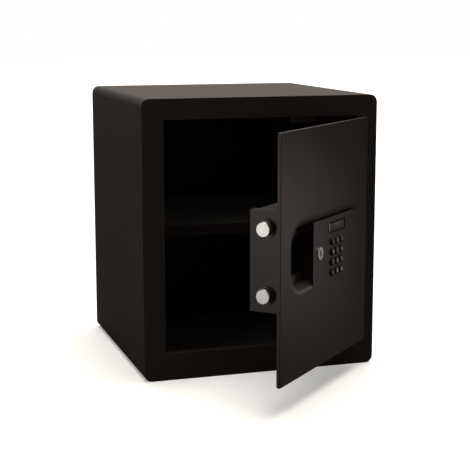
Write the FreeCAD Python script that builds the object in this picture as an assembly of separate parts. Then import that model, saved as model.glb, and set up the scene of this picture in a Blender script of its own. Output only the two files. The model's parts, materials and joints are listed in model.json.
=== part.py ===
import FreeCAD, Part
import math
import os

# Office safe: folded steel body, 5 mm door on gooseneck hinges, a keypad module with a finger
# pocket, and two motor-driven locking bolts. Millimetres. X is to the right, Y goes back, Z is up.
# The origin is the centre of the underside. The door stands open by DOOR_OPEN_ANGLE.

# --- Driving dimensions: body ---------------------------------------------------------------
BODY_WIDTH = 350.0
BODY_DEPTH = 340.0
BODY_HEIGHT = 400.0
BODY_SHEET = 3.0
BODY_CORNER_RADIUS = 11.0
FRONT_SHEET = 3.0
STILE_WIDTH = 31.5
BOTTOM_RAIL = 39.5
TOP_RAIL = 29.5
RETURN_DEPTH = 12.0
RETURN_SHEET = 2.5
BACK_SHEET = 3.0
ANCHOR_HOLE_RADIUS = 6.0
WALL_ANCHOR_SPACING = 180.0
WALL_ANCHOR_DROP = 100.0
FLOOR_ANCHOR_SPACING = 180.0
MAT_HOLE_RADIUS = 12.0
MAT_THICKNESS = 2.5
MAT_MARGIN = 3.0
LYING_GAP = 0.2

# --- Driving dimensions: shelf --------------------------------------------------------------
SHELF_TOP = 210.5
SHELF_SHEET = 1.5
SHELF_SETBACK = 65.0
SHELF_LIP = 15.0
SHELF_LIP_RETURN = 8.0
SHELF_SIDE_GAP = 1.0
BRACKET_LEG = 15.0
BRACKET_END_GAP = 12.0
SHELF_SCREW_RADIUS = 2.0
SHELF_SCREW_INSET = 25.0

# --- Driving dimensions: door and hinges ----------------------------------------------------
DOOR_GAP = 1.5
DOOR_THICKNESS = 5.0
DOOR_CORNER_RADIUS = 2.0
DOOR_EDGE_RADIUS = 0.8
DOOR_BACK_CHAMFER = 1.5
DOOR_OPEN_ANGLE = 44.2
KNUCKLE_CLEARANCE = 0.5
HINGE_INSET = 45.0
ARM_HEIGHT = 30.0
ARM_THICKNESS = 5.0
ARM_REACH_BACK = 31.0
ARM_REACH_ACROSS = 32.0
ARM_FOOT_LENGTH = 34.0
ARM_FOOT_THICKNESS = 4.0
ARM_BEND_RADIUS = 2.5
PIN_RADIUS = 3.0
KNUCKLE_WALL = 2.5
PIN_HEAD_RIM = 1.5
PIN_HEAD_HEIGHT = 1.5
EAR_THICKNESS = 4.0
EAR_RIM = 1.0
WASHER_THICKNESS = 1.0
TURNING_GAP = 0.3
BORE_GAP = 0.05
HINGE_SCREW_RADIUS = 2.5

# --- Driving dimensions: strike side --------------------------------------------------------
STRIKE_SHEET = 3.0
STRIKE_EDGE = 8.0
STRIKE_OVERRUN = 5.0
STRIKE_HOLE_GAP = 1.5
STOP_LENGTH = 40.0
STOP_WIDTH = 9.0
STOP_SHEET = 3.0
STOP_LEFT = 45.0
BUFFER_MARGIN = 1.0
BUFFER_RADIUS = 3.0
BUFFER_THICKNESS = 1.7

# --- Driving dimensions: keypad module ------------------------------------------------------
MODULE_WIDTH = 230.0
MODULE_HEIGHT = 99.5
MODULE_CORNER_RADIUS = 36.0
MODULE_DROP = 3.2
MODULE_DEPTH = 16.5
MODULE_FLOOR = 1.5
MODULE_FLANGE = 4.0
MODULE_FLANGE_THICKNESS = 2.5
MODULE_SEAM = 0.3
SCOOP_INSET = 12.5
SCOOP_LIP_RADIUS = 12.0
FASCIA_INSET = 72.5
FASCIA_TOP_DROP = 9.5
FASCIA_THICKNESS = 3.0
FASCIA_GAP = 0.15
BAY_WALL = 2.0
BAY_RIM = 3.0
WELL_HALF_HEIGHT = 26.25
WELL_INSET = 18.0
WELL_UNDERCUT = 8.0
WELL_DEPTH = 24.5
WELL_WALL = 2.2
WELL_CORNER_RADIUS = 6.0
EAR_TAB_LENGTH = 12.0
EAR_TAB_LEFT = -60.0
EAR_TAB_RIGHT = 75.0
EAR_TAB_HEIGHT = 10.0

# --- Driving dimensions: keys and display ---------------------------------------------------
KEY_COLUMN_PITCH = 14.7
KEY_ROW_PITCH = 14.35
KEY_MIDDLE_COLUMN = 33.9
KEY_TOP_ROW = 5.7
KEY_RADIUS = 5.3
KEY_HOLE_GAP = 0.1
KEY_PROUD = 2.5
KEY_FLANGE_RADIUS = 6.2
KEY_FLANGE_THICKNESS = 1.0
KEY_TRAVEL = 1.2
KEY_EDGE_RADIUS = 0.6
BOARD_DEPTH = 7.2
BOARD_THICKNESS = 1.6
BOARD_MARGIN = 9.0
BOARD_BOSS_RADIUS = 3.0
MAT_SHEET = 0.8
DOME_RADIUS = 4.0
DOME_GAP = 0.2
LENS_WIDTH = 54.0
LENS_HEIGHT = 14.4
LENS_BOTTOM = 18.3
LENS_PROUD = 1.0
DISPLAY_BORDER = 1.5

# --- Driving dimensions: override lock ------------------------------------------------------
CYLINDER_X = -21.2
CYLINDER_Z = -4.4
CYLINDER_FACE_RADIUS = 8.7
CYLINDER_FACE_PROUD = 1.2
CYLINDER_RADIUS = 7.5
CYLINDER_LENGTH = 28.0
CYLINDER_NUT_RADIUS = 10.0
CYLINDER_NUT_THICKNESS = 3.0
PLUG_RADIUS = 4.5
PLUG_OVERRUN = 2.0
PLUG_TAIL_RADIUS = 3.0
KEYWAY_WIDTH = 1.8
KEYWAY_HEIGHT = 6.0
KEYWAY_DEPTH = 20.0
CAM_THICKNESS = 2.0
CAM_LENGTH = 11.0
CAM_HUB_RADIUS = 5.0
CAM_TIP_RADIUS = 2.5

# --- Driving dimensions: lock case and bolts ------------------------------------------------
CASE_SPACE = 9.0
BRACKET_INSET = 15.0
BRACKET_SHEET = 2.0
BRACKET_MARGIN = 5.3
BRACKET_FLANGE = 14.0
BRACKET_FOOT_LENGTH = 18.0
BRACKET_FOOT_HEIGHT = 14.0
COVER_INSET = 20.0
COVER_SHEET = 1.5
COVER_SEAM = 0.2
COVER_TAB_LENGTH = 24.0
COVER_TAB_HEIGHT = 10.0
COVER_TAB_PLACES = (-45.0, 75.0)
BOLT_RADIUS = 10.0
BOLT_SPACING = 87.0
BOLT_GAP_TO_MODULE = 0.5
BOLT_LENGTH = 46.0
BOLT_OUT = 12.0
BOLT_TRAVEL = 18.0
BOLT_CHAMFER = 1.0
BOLT_RUNNING_GAP = 0.06
COLLAR_RIM = 1.0
COLLAR_LENGTH = 3.5
BUSH_WALL = 1.0
SLEEVE_LENGTH = 15.0
YOKE_THICKNESS = 3.0
YOKE_PAD_SETBACK = 0.5
YOKE_BRIDGE_WIDTH = 10.0
YOKE_GAP_TO_CHASSIS = 1.0
CARRIAGE_SCREW_RADIUS = 3.0
CARRIAGE_SCREW_LENGTH = 11.0
CHASSIS_GAP_TO_BOLT = 5.0
CHASSIS_SHEET = 2.0
CHASSIS_RIM = 4.0
POST_RADIUS = 3.2
POST_GAP_TO_BOLT = 1.3
POST_INSET = 27.0
POST_PAST_PINION = 17.0
CHASSIS_EDGE = 4.0
SCREW_RADIUS = 2.0
SCREW_HEAD_RADIUS = 3.6
SCREW_HEAD_HEIGHT = 2.2
SCREW_BITE = 3.0
SCREW_GAP = 0.05

# --- Driving dimensions: drive --------------------------------------------------------------
GEAR_MODULE = 1.0
PINION_TEETH = 16
PINION_X = 21.0
PINION_Z = -2.1
PINION_SHAFT_RADIUS = 2.5
RACK_GAP_TO_CHASSIS = 1.5
RACK_THICKNESS = 4.0
RACK_BODY_HEIGHT = 9.5
RACK_TOOTH_COUNT = 11
MESH_GAP = 0.15
TOOTH_SLACK = 0.35
GUIDE_RADIUS = 4.0
GUIDE_GAP = 0.1
GEARBOX_HALF_WIDTH = 16.0
GEARBOX_GAP_TO_MODULE = 1.0
GEARBOX_GAP_TO_RACK = 1.0
GEARBOX_BOTTOM = -18.0
GEARBOX_TOP = 12.0
GEARBOX_BOSS_RADIUS = 3.0
SHAFT_SEAT = 5.0
MOTOR_RADIUS = 10.5
MOTOR_LENGTH = 38.0
MOTOR_NECK_RADIUS = 5.0
MOTOR_NECK_LENGTH = 2.0

# --- Driving dimensions: power and code button ----------------------------------------------
CELL_RADIUS = 7.25
CELL_LENGTH = 50.5
CELL_NIPPLE_RADIUS = 2.75
CELL_NIPPLE_LENGTH = 1.0
CELL_SPACING = 0.9
CELL_COUNT = 4
CELL_GAP = 0.3
BATTERY_PAST_PINION = 25.0
BATTERY_WALL = 2.0
BATTERY_END_SPACE = 5.5
BATTERY_FLANGE = 3.0
BATTERY_DOOR_THICKNESS = 2.0
BATTERY_DOOR_GAP = 0.4
BATTERY_SEAT = 1.0
BUTTON_RADIUS = 4.0
BUTTON_PROUD = 1.5
BUTTON_TRAVEL = 1.0
BUTTON_FLANGE_RADIUS = 5.3
BUTTON_FLANGE_THICKNESS = 1.2
BUTTON_STEM = 9.0
BUTTON_CLEARANCE = 13.0
SWITCH_HALF = 5.0
SWITCH_HEIGHT = 3.0
LEDGE_HALF_WIDTH = 8.0
LEDGE_THICKNESS = 2.0

# --- Values that follow from the driving dimensions ------------------------------------------
FRONT = -BODY_DEPTH / 2
BACK = BODY_DEPTH / 2
SIDE = BODY_WIDTH / 2
INNER_SIDE = SIDE - BODY_SHEET
INNER_BACK = BACK - BACK_SHEET
OPENING_SIDE = SIDE - STILE_WIDTH
OPENING_BOTTOM = BOTTOM_RAIL
OPENING_TOP = BODY_HEIGHT - TOP_RAIL
DOOR_SIDE = OPENING_SIDE - DOOR_GAP
DOOR_BOTTOM = OPENING_BOTTOM + DOOR_GAP
DOOR_TOP = OPENING_TOP - DOOR_GAP
MODULE_Z = (DOOR_BOTTOM + DOOR_TOP) / 2 - MODULE_DROP
KNUCKLE_RADIUS = PIN_RADIUS + KNUCKLE_WALL
EAR_OVERHANG = KNUCKLE_RADIUS + EAR_RIM
PIVOT_X = INNER_SIDE - KNUCKLE_RADIUS - KNUCKLE_CLEARANCE
PIVOT_Y = FRONT + FRONT_SHEET + KNUCKLE_RADIUS + KNUCKLE_CLEARANCE
HINGE_HEIGHTS = (OPENING_BOTTOM + HINGE_INSET, OPENING_TOP - HINGE_INSET)
BOLT_HEIGHTS = (BOLT_SPACING / 2, -BOLT_SPACING / 2)
FASCIA_TOP = MODULE_HEIGHT / 2 - FASCIA_TOP_DROP
FASCIA_LEFT = -MODULE_WIDTH / 2 + FASCIA_INSET
WELL_LEFT = -MODULE_WIDTH / 2 + WELL_INSET
PIN_HEAD_RADIUS = PIN_RADIUS + PIN_HEAD_RIM
BOLT_DEPTH = MODULE_DEPTH + BOLT_GAP_TO_MODULE + BOLT_RADIUS
SLEEVE_RADIUS = BOLT_RADIUS + BUSH_WALL
COLLAR_RADIUS = SLEEVE_RADIUS + COLLAR_RIM
STRIKE_DEPTH = BOLT_DEPTH + BOLT_RADIUS + STRIKE_EDGE
CHASSIS_FRONT = BOLT_DEPTH + BOLT_RADIUS + CHASSIS_GAP_TO_BOLT
LOCK_CASE_DEPTH = CHASSIS_FRONT + CASE_SPACE
YOKE_FRONT = BOLT_DEPTH - BOLT_RADIUS + YOKE_PAD_SETBACK
YOKE_BACK = CHASSIS_FRONT - YOKE_GAP_TO_CHASSIS
YOKE_BRIDGE_FRONT = YOKE_BACK - YOKE_BRIDGE_WIDTH
YOKE_PAD_HALF = BOLT_RADIUS
RACK_FRONT = CHASSIS_FRONT - RACK_GAP_TO_CHASSIS - RACK_THICKNESS
GEARBOX_FRONT = MODULE_DEPTH + GEARBOX_GAP_TO_MODULE
GEARBOX_BACK = RACK_FRONT - GEARBOX_GAP_TO_RACK
BRACKET_X = -DOOR_SIDE + BRACKET_INSET
POST_LEFT = BRACKET_X + POST_INSET
POST_RIGHT = PINION_X + POST_PAST_PINION
POST_HALF_HEIGHT = BOLT_SPACING / 2 + BOLT_RADIUS + POST_GAP_TO_BOLT + POST_RADIUS
CHASSIS_HALF_HEIGHT = POST_HALF_HEIGHT + CHASSIS_RIM
BRACKET_HALF_HEIGHT = POST_HALF_HEIGHT + POST_RADIUS + BRACKET_MARGIN
COVER_RIGHT = DOOR_SIDE - COVER_INSET
CELL_PITCH = 2 * CELL_RADIUS + CELL_SPACING
BATTERY_LEFT = PINION_X + BATTERY_PAST_PINION
FAR = 2 * max(BODY_WIDTH, BODY_DEPTH, BODY_HEIGHT)

PIECES = {}


# --- Shape helpers ---------------------------------------------------------------------------
def at(x, y, z):
    return FreeCAD.Vector(x, y, z)


def box(x0, x1, y0, y1, z0, z1):
    return Part.makeBox(x1 - x0, y1 - y0, z1 - z0, at(x0, y0, z0))


def rod(x, y, z, radius, length, axis):
    return Part.makeCylinder(radius, length, at(x, y, z), axis)


def rounded_plate(x0, x1, z0, z1, radius, y0, y1):
    """A plate standing in the XZ plane with rounded corners, from y0 back to y1."""
    bevel = radius * (1 - math.sqrt(0.5))
    corners = (
        (x0, z0, 1, 1), (x1, z0, -1, 1), (x1, z1, -1, -1), (x0, z1, 1, -1),
    )
    edges = []
    previous = None
    first = None
    for index, (x, z, toward_x, toward_z) in enumerate(corners):
        along_x = at(x + toward_x * radius, y0, z)
        along_z = at(x, y0, z + toward_z * radius)
        middle = at(x + toward_x * bevel, y0, z + toward_z * bevel)
        start, end = (along_z, along_x) if index % 2 == 0 else (along_x, along_z)
        if previous is None:
            first = start
        else:
            edges.append(Part.LineSegment(previous, start).toShape())
        edges.append(Part.Arc(start, middle, end).toShape())
        previous = end
    edges.append(Part.LineSegment(previous, first).toShape())
    return Part.Face(Part.Wire(edges)).extrude(at(0, y1 - y0, 0))


def outline(points, height, z0):
    """A polygon in the XY plane, raised from z0 by height."""
    corners = [at(x, y, z0) for x, y in points]
    face = Part.Face(Part.makePolygon(corners + corners[:1]))
    return face.extrude(at(0, 0, height))


def edges_where(shape, test):
    return [edge for edge in shape.Edges if test(edge)]


def both_sides(shape):
    """The shape and its mirror image in the YZ plane."""
    return shape, shape.mirror(at(0, 0, 0), at(1, 0, 0))


def swing(shape):
    """Turn a door piece from the closed place to the open place."""
    turned = shape.copy()
    turned.rotate(at(PIVOT_X, PIVOT_Y, 0), at(0, 0, 1), DOOR_OPEN_ANGLE)
    return turned


def keep(name, *solids):
    PIECES[name] = Part.makeCompound(solids) if len(solids) > 1 else solids[0]


def keep_on_door(name, *solids):
    keep(name, *[swing(solid) for solid in solids])


def door_box(x0, x1, depth0, depth1, z0, z1):
    """A box on the closed door: depth is behind the outer face, z is from the module's middle."""
    return box(x0, x1, FRONT + depth0, FRONT + depth1, MODULE_Z + z0, MODULE_Z + z1)


def door_rod(x, z, radius, depth0, depth1):
    """A rod square to the closed door."""
    return rod(x, FRONT + depth0, MODULE_Z + z, radius, depth1 - depth0, at(0, 1, 0))


def across_rod(x0, x1, depth, z, radius):
    """A rod along the closed door's width."""
    return rod(x0, FRONT + depth, MODULE_Z + z, radius, x1 - x0, at(1, 0, 0))


def module_plate(grow, depth0, depth1):
    """The module's rounded outline, grown or shrunk by grow, between two depths."""
    half_width = MODULE_WIDTH / 2 + grow
    half_height = MODULE_HEIGHT / 2 + grow
    return rounded_plate(
        -half_width, half_width, MODULE_Z - half_height, MODULE_Z + half_height,
        MODULE_CORNER_RADIUS + grow, FRONT + depth0, FRONT + depth1,
    )


# --- Body ------------------------------------------------------------------------------------
def body_shell():
    """Top, sides and floor, folded from one sheet and welded under the floor."""
    outer = rounded_plate(
        -SIDE, SIDE, 0, BODY_HEIGHT, BODY_CORNER_RADIUS, FRONT + FRONT_SHEET, BACK
    )
    inner = rounded_plate(
        -INNER_SIDE, INNER_SIDE, BODY_SHEET, BODY_HEIGHT - BODY_SHEET,
        BODY_CORNER_RADIUS - BODY_SHEET, FRONT, BACK + FRONT_SHEET,
    )
    shell = outer.cut(inner)
    for x in (-FLOOR_ANCHOR_SPACING / 2, FLOOR_ANCHOR_SPACING / 2):
        shell = shell.cut(rod(x, 0, -1, ANCHOR_HOLE_RADIUS, BODY_SHEET + 2, at(0, 0, 1)))
    keep("body_wrap", shell)


def back_sheet():
    """The welded back, with the two wall anchor holes."""
    sheet = rounded_plate(
        -INNER_SIDE, INNER_SIDE, BODY_SHEET, BODY_HEIGHT - BODY_SHEET,
        BODY_CORNER_RADIUS - BODY_SHEET, INNER_BACK, BACK,
    )
    height = BODY_HEIGHT - WALL_ANCHOR_DROP
    for x in (-WALL_ANCHOR_SPACING / 2, WALL_ANCHOR_SPACING / 2):
        hole = rod(x, INNER_BACK - 1, height, ANCHOR_HOLE_RADIUS, BACK_SHEET + 2, at(0, 1, 0))
        sheet = sheet.cut(hole)
    keep("back_panel", sheet)


def front_sheet():
    """The front, with its opening and the folded returns above and below the door."""
    sheet = rounded_plate(
        -SIDE, SIDE, 0, BODY_HEIGHT, BODY_CORNER_RADIUS, FRONT, FRONT + FRONT_SHEET
    )
    opening = box(
        -OPENING_SIDE, OPENING_SIDE, FRONT - 1, FRONT + FRONT_SHEET + 1, OPENING_BOTTOM, OPENING_TOP
    )
    sheet = sheet.cut(opening)
    for low in (OPENING_BOTTOM - RETURN_SHEET, OPENING_TOP):
        fold = box(
            -OPENING_SIDE, OPENING_SIDE, FRONT + FRONT_SHEET, FRONT + RETURN_DEPTH,
            low, low + RETURN_SHEET,
        )
        sheet = sheet.fuse(fold)
    keep("front_frame", sheet.removeSplitter())


def strike():
    """An angle behind the left stile: the bolts enter its holes, and its foot meets the side."""
    low = OPENING_BOTTOM - STRIKE_OVERRUN
    high = OPENING_TOP + STRIKE_OVERRUN
    outer = -OPENING_SIDE - STRIKE_SHEET
    web = box(outer, -OPENING_SIDE, FRONT + FRONT_SHEET, FRONT + STRIKE_DEPTH, low, high)
    foot = box(
        -INNER_SIDE, outer, FRONT + STRIKE_DEPTH - STRIKE_SHEET, FRONT + STRIKE_DEPTH, low, high
    )
    angle = web.fuse(foot).removeSplitter()
    for height in BOLT_HEIGHTS:
        hole = across_rod(
            outer - 1, -OPENING_SIDE + 1, BOLT_DEPTH, height, BOLT_RADIUS + STRIKE_HOLE_GAP
        )
        angle = angle.cut(hole)
    keep("strike_jamb", angle)


def stops():
    """Lugs on the returns above and below the door, with rubber buffers that it closes on."""
    lugs = []
    buffers = []
    front = FRONT + DOOR_THICKNESS + TURNING_GAP + BUFFER_THICKNESS
    reach = DOOR_GAP + BUFFER_MARGIN + BUFFER_RADIUS
    for low, middle in (
        (OPENING_BOTTOM, OPENING_BOTTOM + reach),
        (OPENING_TOP - STOP_WIDTH, OPENING_TOP - reach),
    ):
        lugs.append(box(
            STOP_LEFT, STOP_LEFT + STOP_LENGTH, front, front + STOP_SHEET, low, low + STOP_WIDTH
        ))
        for x in (STOP_LEFT + STOP_LENGTH / 4, STOP_LEFT + STOP_LENGTH * 3 / 4):
            buffers.append(rod(
                x, front - BUFFER_THICKNESS, middle, BUFFER_RADIUS, BUFFER_THICKNESS, at(0, 1, 0)
            ))
    keep("door_stops", *lugs)
    keep("door_buffers", *buffers)


def shelf():
    """A folded shelf with a front lip, on two angles that are welded to the side walls."""
    front = FRONT + SHELF_SETBACK
    back = INNER_BACK - SHELF_SIDE_GAP
    side = INNER_SIDE - SHELF_SIDE_GAP
    low = SHELF_TOP - SHELF_SHEET
    top = box(-side, side, front, back, low, SHELF_TOP)
    lip = box(-side, side, front, front + SHELF_SHEET, SHELF_TOP - SHELF_LIP, low)
    hem = box(
        -side, side, front + SHELF_SHEET, front + SHELF_LIP_RETURN,
        SHELF_TOP - SHELF_LIP, SHELF_TOP - SHELF_LIP + SHELF_SHEET,
    )
    sheet = top.fuse([lip, hem]).removeSplitter()
    bracket_front = front + BRACKET_END_GAP
    bracket_back = back - BRACKET_END_GAP
    inner = INNER_SIDE - BRACKET_LEG
    leg = box(inner, INNER_SIDE, bracket_front, bracket_back, low - SHELF_SHEET, low)
    wall_leg = box(
        INNER_SIDE - SHELF_SHEET, INNER_SIDE, bracket_front, bracket_back,
        low - BRACKET_LEG, low - SHELF_SHEET,
    )
    bracket = leg.fuse(wall_leg).removeSplitter()
    screw_x = INNER_SIDE - BRACKET_LEG / 2 - SHELF_SHEET
    screws = []
    for y in (bracket_front + SHELF_SCREW_INSET, bracket_back - SHELF_SCREW_INSET):
        hole = rod(
            screw_x, y, low - BRACKET_LEG, SHELF_SCREW_RADIUS + SCREW_GAP,
            BRACKET_LEG + SHELF_SHEET + 1, at(0, 0, 1),
        )
        bracket = bracket.cut(hole)
        for hole_side in both_sides(hole):
            sheet = sheet.cut(hole_side)
        shank = rod(
            screw_x, y, low - 2 * SHELF_SHEET, SHELF_SCREW_RADIUS,
            3 * SHELF_SHEET, at(0, 0, 1),
        )
        screws.extend(both_sides(shank))
    right, left = both_sides(bracket)
    keep("shelf", sheet)
    keep("right_shelf_bracket", right)
    keep("left_shelf_bracket", left)
    keep("shelf_screws", *screws)


def mats():
    """Felt mats that lie loose on the shelf and on the floor."""
    side = INNER_SIDE - MAT_MARGIN
    back = INNER_BACK - MAT_MARGIN
    shelf_front = FRONT + SHELF_SETBACK
    floor_low = BODY_SHEET + LYING_GAP
    shelf_low = SHELF_TOP + LYING_GAP
    keep("shelf_mat", box(
        -side, side, shelf_front + MAT_MARGIN / 2, back, shelf_low, shelf_low + MAT_THICKNESS
    ))
    floor_side = INNER_SIDE - BODY_CORNER_RADIUS + BODY_SHEET
    floor_mat = box(
        -floor_side, floor_side, FRONT + 2 * MAT_MARGIN, back,
        floor_low, floor_low + MAT_THICKNESS,
    )
    for x in (-FLOOR_ANCHOR_SPACING / 2, FLOOR_ANCHOR_SPACING / 2):
        hole = rod(x, 0, floor_low - 1, MAT_HOLE_RADIUS, MAT_THICKNESS + 2, at(0, 0, 1))
        floor_mat = floor_mat.cut(hole)
    keep("floor_mat", floor_mat)


# --- Hinges ----------------------------------------------------------------------------------
def fixed_hinge_parts():
    """Ears on the body, the pins through them and the washers that carry the arms."""
    ears = []
    pins = []
    washers = []
    for middle in HINGE_HEIGHTS:
        arm_low = middle - ARM_HEIGHT / 2
        arm_high = middle + ARM_HEIGHT / 2
        lower_top = arm_low - TURNING_GAP - WASHER_THICKNESS
        upper_low = arm_high + TURNING_GAP
        bore = rod(
            PIVOT_X, PIVOT_Y, lower_top - 2 * EAR_THICKNESS, PIN_RADIUS + BORE_GAP,
            ARM_HEIGHT + 5 * EAR_THICKNESS, at(0, 0, 1),
        )
        for low in (lower_top - EAR_THICKNESS, upper_low):
            ear = box(
                PIVOT_X - EAR_OVERHANG, INNER_SIDE, FRONT + FRONT_SHEET, PIVOT_Y + EAR_OVERHANG,
                low, low + EAR_THICKNESS,
            )
            ears.append(ear.cut(bore))
        pin_low = lower_top - EAR_THICKNESS
        pin_high = upper_low + EAR_THICKNESS
        shank = rod(PIVOT_X, PIVOT_Y, pin_low, PIN_RADIUS, pin_high - pin_low, at(0, 0, 1))
        head = rod(PIVOT_X, PIVOT_Y, pin_high, PIN_HEAD_RADIUS, PIN_HEAD_HEIGHT, at(0, 0, 1))
        pins.append(shank.fuse(head).removeSplitter())
        disc = rod(PIVOT_X, PIVOT_Y, lower_top, KNUCKLE_RADIUS, WASHER_THICKNESS, at(0, 0, 1))
        washers.append(disc.cut(bore))
    keep("hinge_ears", *ears)
    keep("hinge_pins", *pins)
    keep("hinge_washers", *washers)


def hinge_arms():
    """Goosenecks: from the knuckle back, across behind the stile, and forward to the door."""
    stem_right = PIVOT_X + ARM_THICKNESS - 1
    back = PIVOT_Y + ARM_REACH_BACK
    leg_left = PIVOT_X - ARM_REACH_ACROSS
    door_back = FRONT + DOOR_THICKNESS
    foot_left = leg_left + ARM_THICKNESS - ARM_FOOT_LENGTH
    points = (
        (PIVOT_X - 1, PIVOT_Y), (stem_right, PIVOT_Y), (stem_right, back), (leg_left, back),
        (leg_left, door_back + ARM_FOOT_THICKNESS), (foot_left, door_back + ARM_FOOT_THICKNESS),
        (foot_left, door_back), (leg_left + ARM_THICKNESS, door_back),
        (leg_left + ARM_THICKNESS, back - ARM_THICKNESS), (PIVOT_X - 1, back - ARM_THICKNESS),
    )
    bends = (points[2], points[3], points[7])
    screw_places = (foot_left + ARM_FOOT_LENGTH / 4, foot_left + ARM_FOOT_LENGTH * 5 / 8)
    screws = []
    for name, middle in zip(("lower_hinge_arm", "upper_hinge_arm"), HINGE_HEIGHTS):
        low = middle - ARM_HEIGHT / 2
        strip = outline(points, ARM_HEIGHT, low)
        upright = edges_where(strip, lambda edge: any(
            math.hypot(edge.Vertexes[0].X - x, edge.Vertexes[0].Y - y) < 0.01
            and math.hypot(edge.Vertexes[-1].X - x, edge.Vertexes[-1].Y - y) < 0.01
            for x, y in bends
        ))
        strip = strip.makeFillet(ARM_BEND_RADIUS, upright)
        knuckle = rod(PIVOT_X, PIVOT_Y, low, KNUCKLE_RADIUS, ARM_HEIGHT, at(0, 0, 1))
        bore = rod(PIVOT_X, PIVOT_Y, low - 1, PIN_RADIUS + BORE_GAP, ARM_HEIGHT + 2, at(0, 0, 1))
        arm = strip.fuse(knuckle).removeSplitter().cut(bore)
        for x in screw_places:
            start = door_back - SCREW_BITE
            seat = door_back + ARM_FOOT_THICKNESS
            hole = rod(
                x, start, middle, HINGE_SCREW_RADIUS + SCREW_GAP,
                ARM_FOOT_THICKNESS + SCREW_BITE + 1, at(0, 1, 0),
            )
            arm = arm.cut(hole)
            shank = rod(x, start, middle, HINGE_SCREW_RADIUS, seat - start, at(0, 1, 0))
            head = rod(x, seat, middle, 2 * HINGE_SCREW_RADIUS, HINGE_SCREW_RADIUS, at(0, 1, 0))
            screws.append(shank.fuse(head).removeSplitter())
        keep_on_door(name, arm)
    keep_on_door("hinge_screws", *screws)
    return [(x, middle) for middle in HINGE_HEIGHTS for x in screw_places]


# --- Door ------------------------------------------------------------------------------------
def screw_places_on_door():
    """Places of the small screws in the door's back: x, z and the sheet that each holds."""
    places = []
    foot_x = BRACKET_X + BRACKET_SHEET + BRACKET_FOOT_LENGTH / 2
    foot_z = BRACKET_HALF_HEIGHT - BRACKET_SHEET - BRACKET_FOOT_HEIGHT / 2
    tab_z = cover_half_height() + COVER_TAB_HEIGHT / 2
    ear_z = MODULE_HEIGHT / 2 + EAR_TAB_HEIGHT / 2 + 1
    for sign in (1, -1):
        places.append((foot_x, sign * foot_z, BRACKET_SHEET))
        for x in COVER_TAB_PLACES:
            places.append((x, sign * tab_z, COVER_SHEET))
        for x in (EAR_TAB_LEFT, EAR_TAB_RIGHT):
            places.append((x, sign * ear_z, MODULE_FLANGE_THICKNESS))
    return places


def cover_half_height():
    return BRACKET_HALF_HEIGHT - BRACKET_SHEET - COVER_SEAM


def small_screw(x, z, seat, bite_to):
    shank = door_rod(x, z, SCREW_RADIUS, bite_to, seat)
    head = door_rod(x, z, SCREW_HEAD_RADIUS, seat, seat + SCREW_HEAD_HEIGHT)
    return shank.fuse(head).removeSplitter()


def door_sheet(hinge_screw_places):
    """The door: a 5 mm plate with eased edges, cut out for the keypad module."""
    sheet = rounded_plate(
        -DOOR_SIDE, DOOR_SIDE, DOOR_BOTTOM, DOOR_TOP, DOOR_CORNER_RADIUS,
        FRONT, FRONT + DOOR_THICKNESS,
    )
    outer_edges = edges_where(
        sheet, lambda edge: all(abs(vertex.Y - FRONT) < 0.01 for vertex in edge.Vertexes)
    )
    sheet = sheet.makeFillet(DOOR_EDGE_RADIUS, outer_edges)
    wedge = outline(
        (
            (DOOR_SIDE - DOOR_BACK_CHAMFER, FRONT + DOOR_THICKNESS + 0.01),
            (DOOR_SIDE + 0.01, FRONT + DOOR_THICKNESS - DOOR_BACK_CHAMFER),
            (DOOR_SIDE + 0.01, FRONT + DOOR_THICKNESS + 0.01),
        ),
        DOOR_TOP - DOOR_BOTTOM + 2, DOOR_BOTTOM - 1,
    )
    sheet = sheet.cut(wedge)
    sheet = sheet.cut(module_plate(MODULE_SEAM, -1, DOOR_THICKNESS + 1))
    for x, z, _ in screw_places_on_door():
        hole = door_rod(
            x, z, SCREW_RADIUS + SCREW_GAP, DOOR_THICKNESS - SCREW_BITE, DOOR_THICKNESS + 1
        )
        sheet = sheet.cut(hole)
    for x, height in hinge_screw_places:
        hole = rod(
            x, FRONT + DOOR_THICKNESS - SCREW_BITE, height, HINGE_SCREW_RADIUS + SCREW_GAP,
            SCREW_BITE + 1, at(0, 1, 0),
        )
        sheet = sheet.cut(hole)
    keep_on_door("door_plate", sheet)


def key_places():
    """Names and places of the twelve keys, row by row from the top left."""
    names = ("1", "2", "3", "4", "5", "6", "7", "8", "9", "star", "0", "hash")
    places = []
    for index, name in enumerate(names):
        column = index % 3 - 1
        row = index // 3
        x = KEY_MIDDLE_COLUMN + column * KEY_COLUMN_PITCH
        z = KEY_TOP_ROW - row * KEY_ROW_PITCH
        places.append(("key_" + name, x, z))
    return places


def board_extent():
    """The circuit board's left, right, bottom and top, around the keys and the display."""
    left = KEY_MIDDLE_COLUMN - KEY_COLUMN_PITCH - KEY_RADIUS - BOARD_MARGIN
    right = KEY_MIDDLE_COLUMN + KEY_COLUMN_PITCH + KEY_RADIUS + BOARD_MARGIN
    bottom = KEY_TOP_ROW - 3 * KEY_ROW_PITCH - KEY_RADIUS
    top = LENS_BOTTOM + LENS_HEIGHT + DISPLAY_BORDER
    return left, right, bottom, top


def board_boss_places():
    left, right, bottom, top = board_extent()
    inset = BOARD_BOSS_RADIUS
    return [(x, z) for x in (left + inset, right - inset) for z in (bottom + inset, top - inset)]


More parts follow.
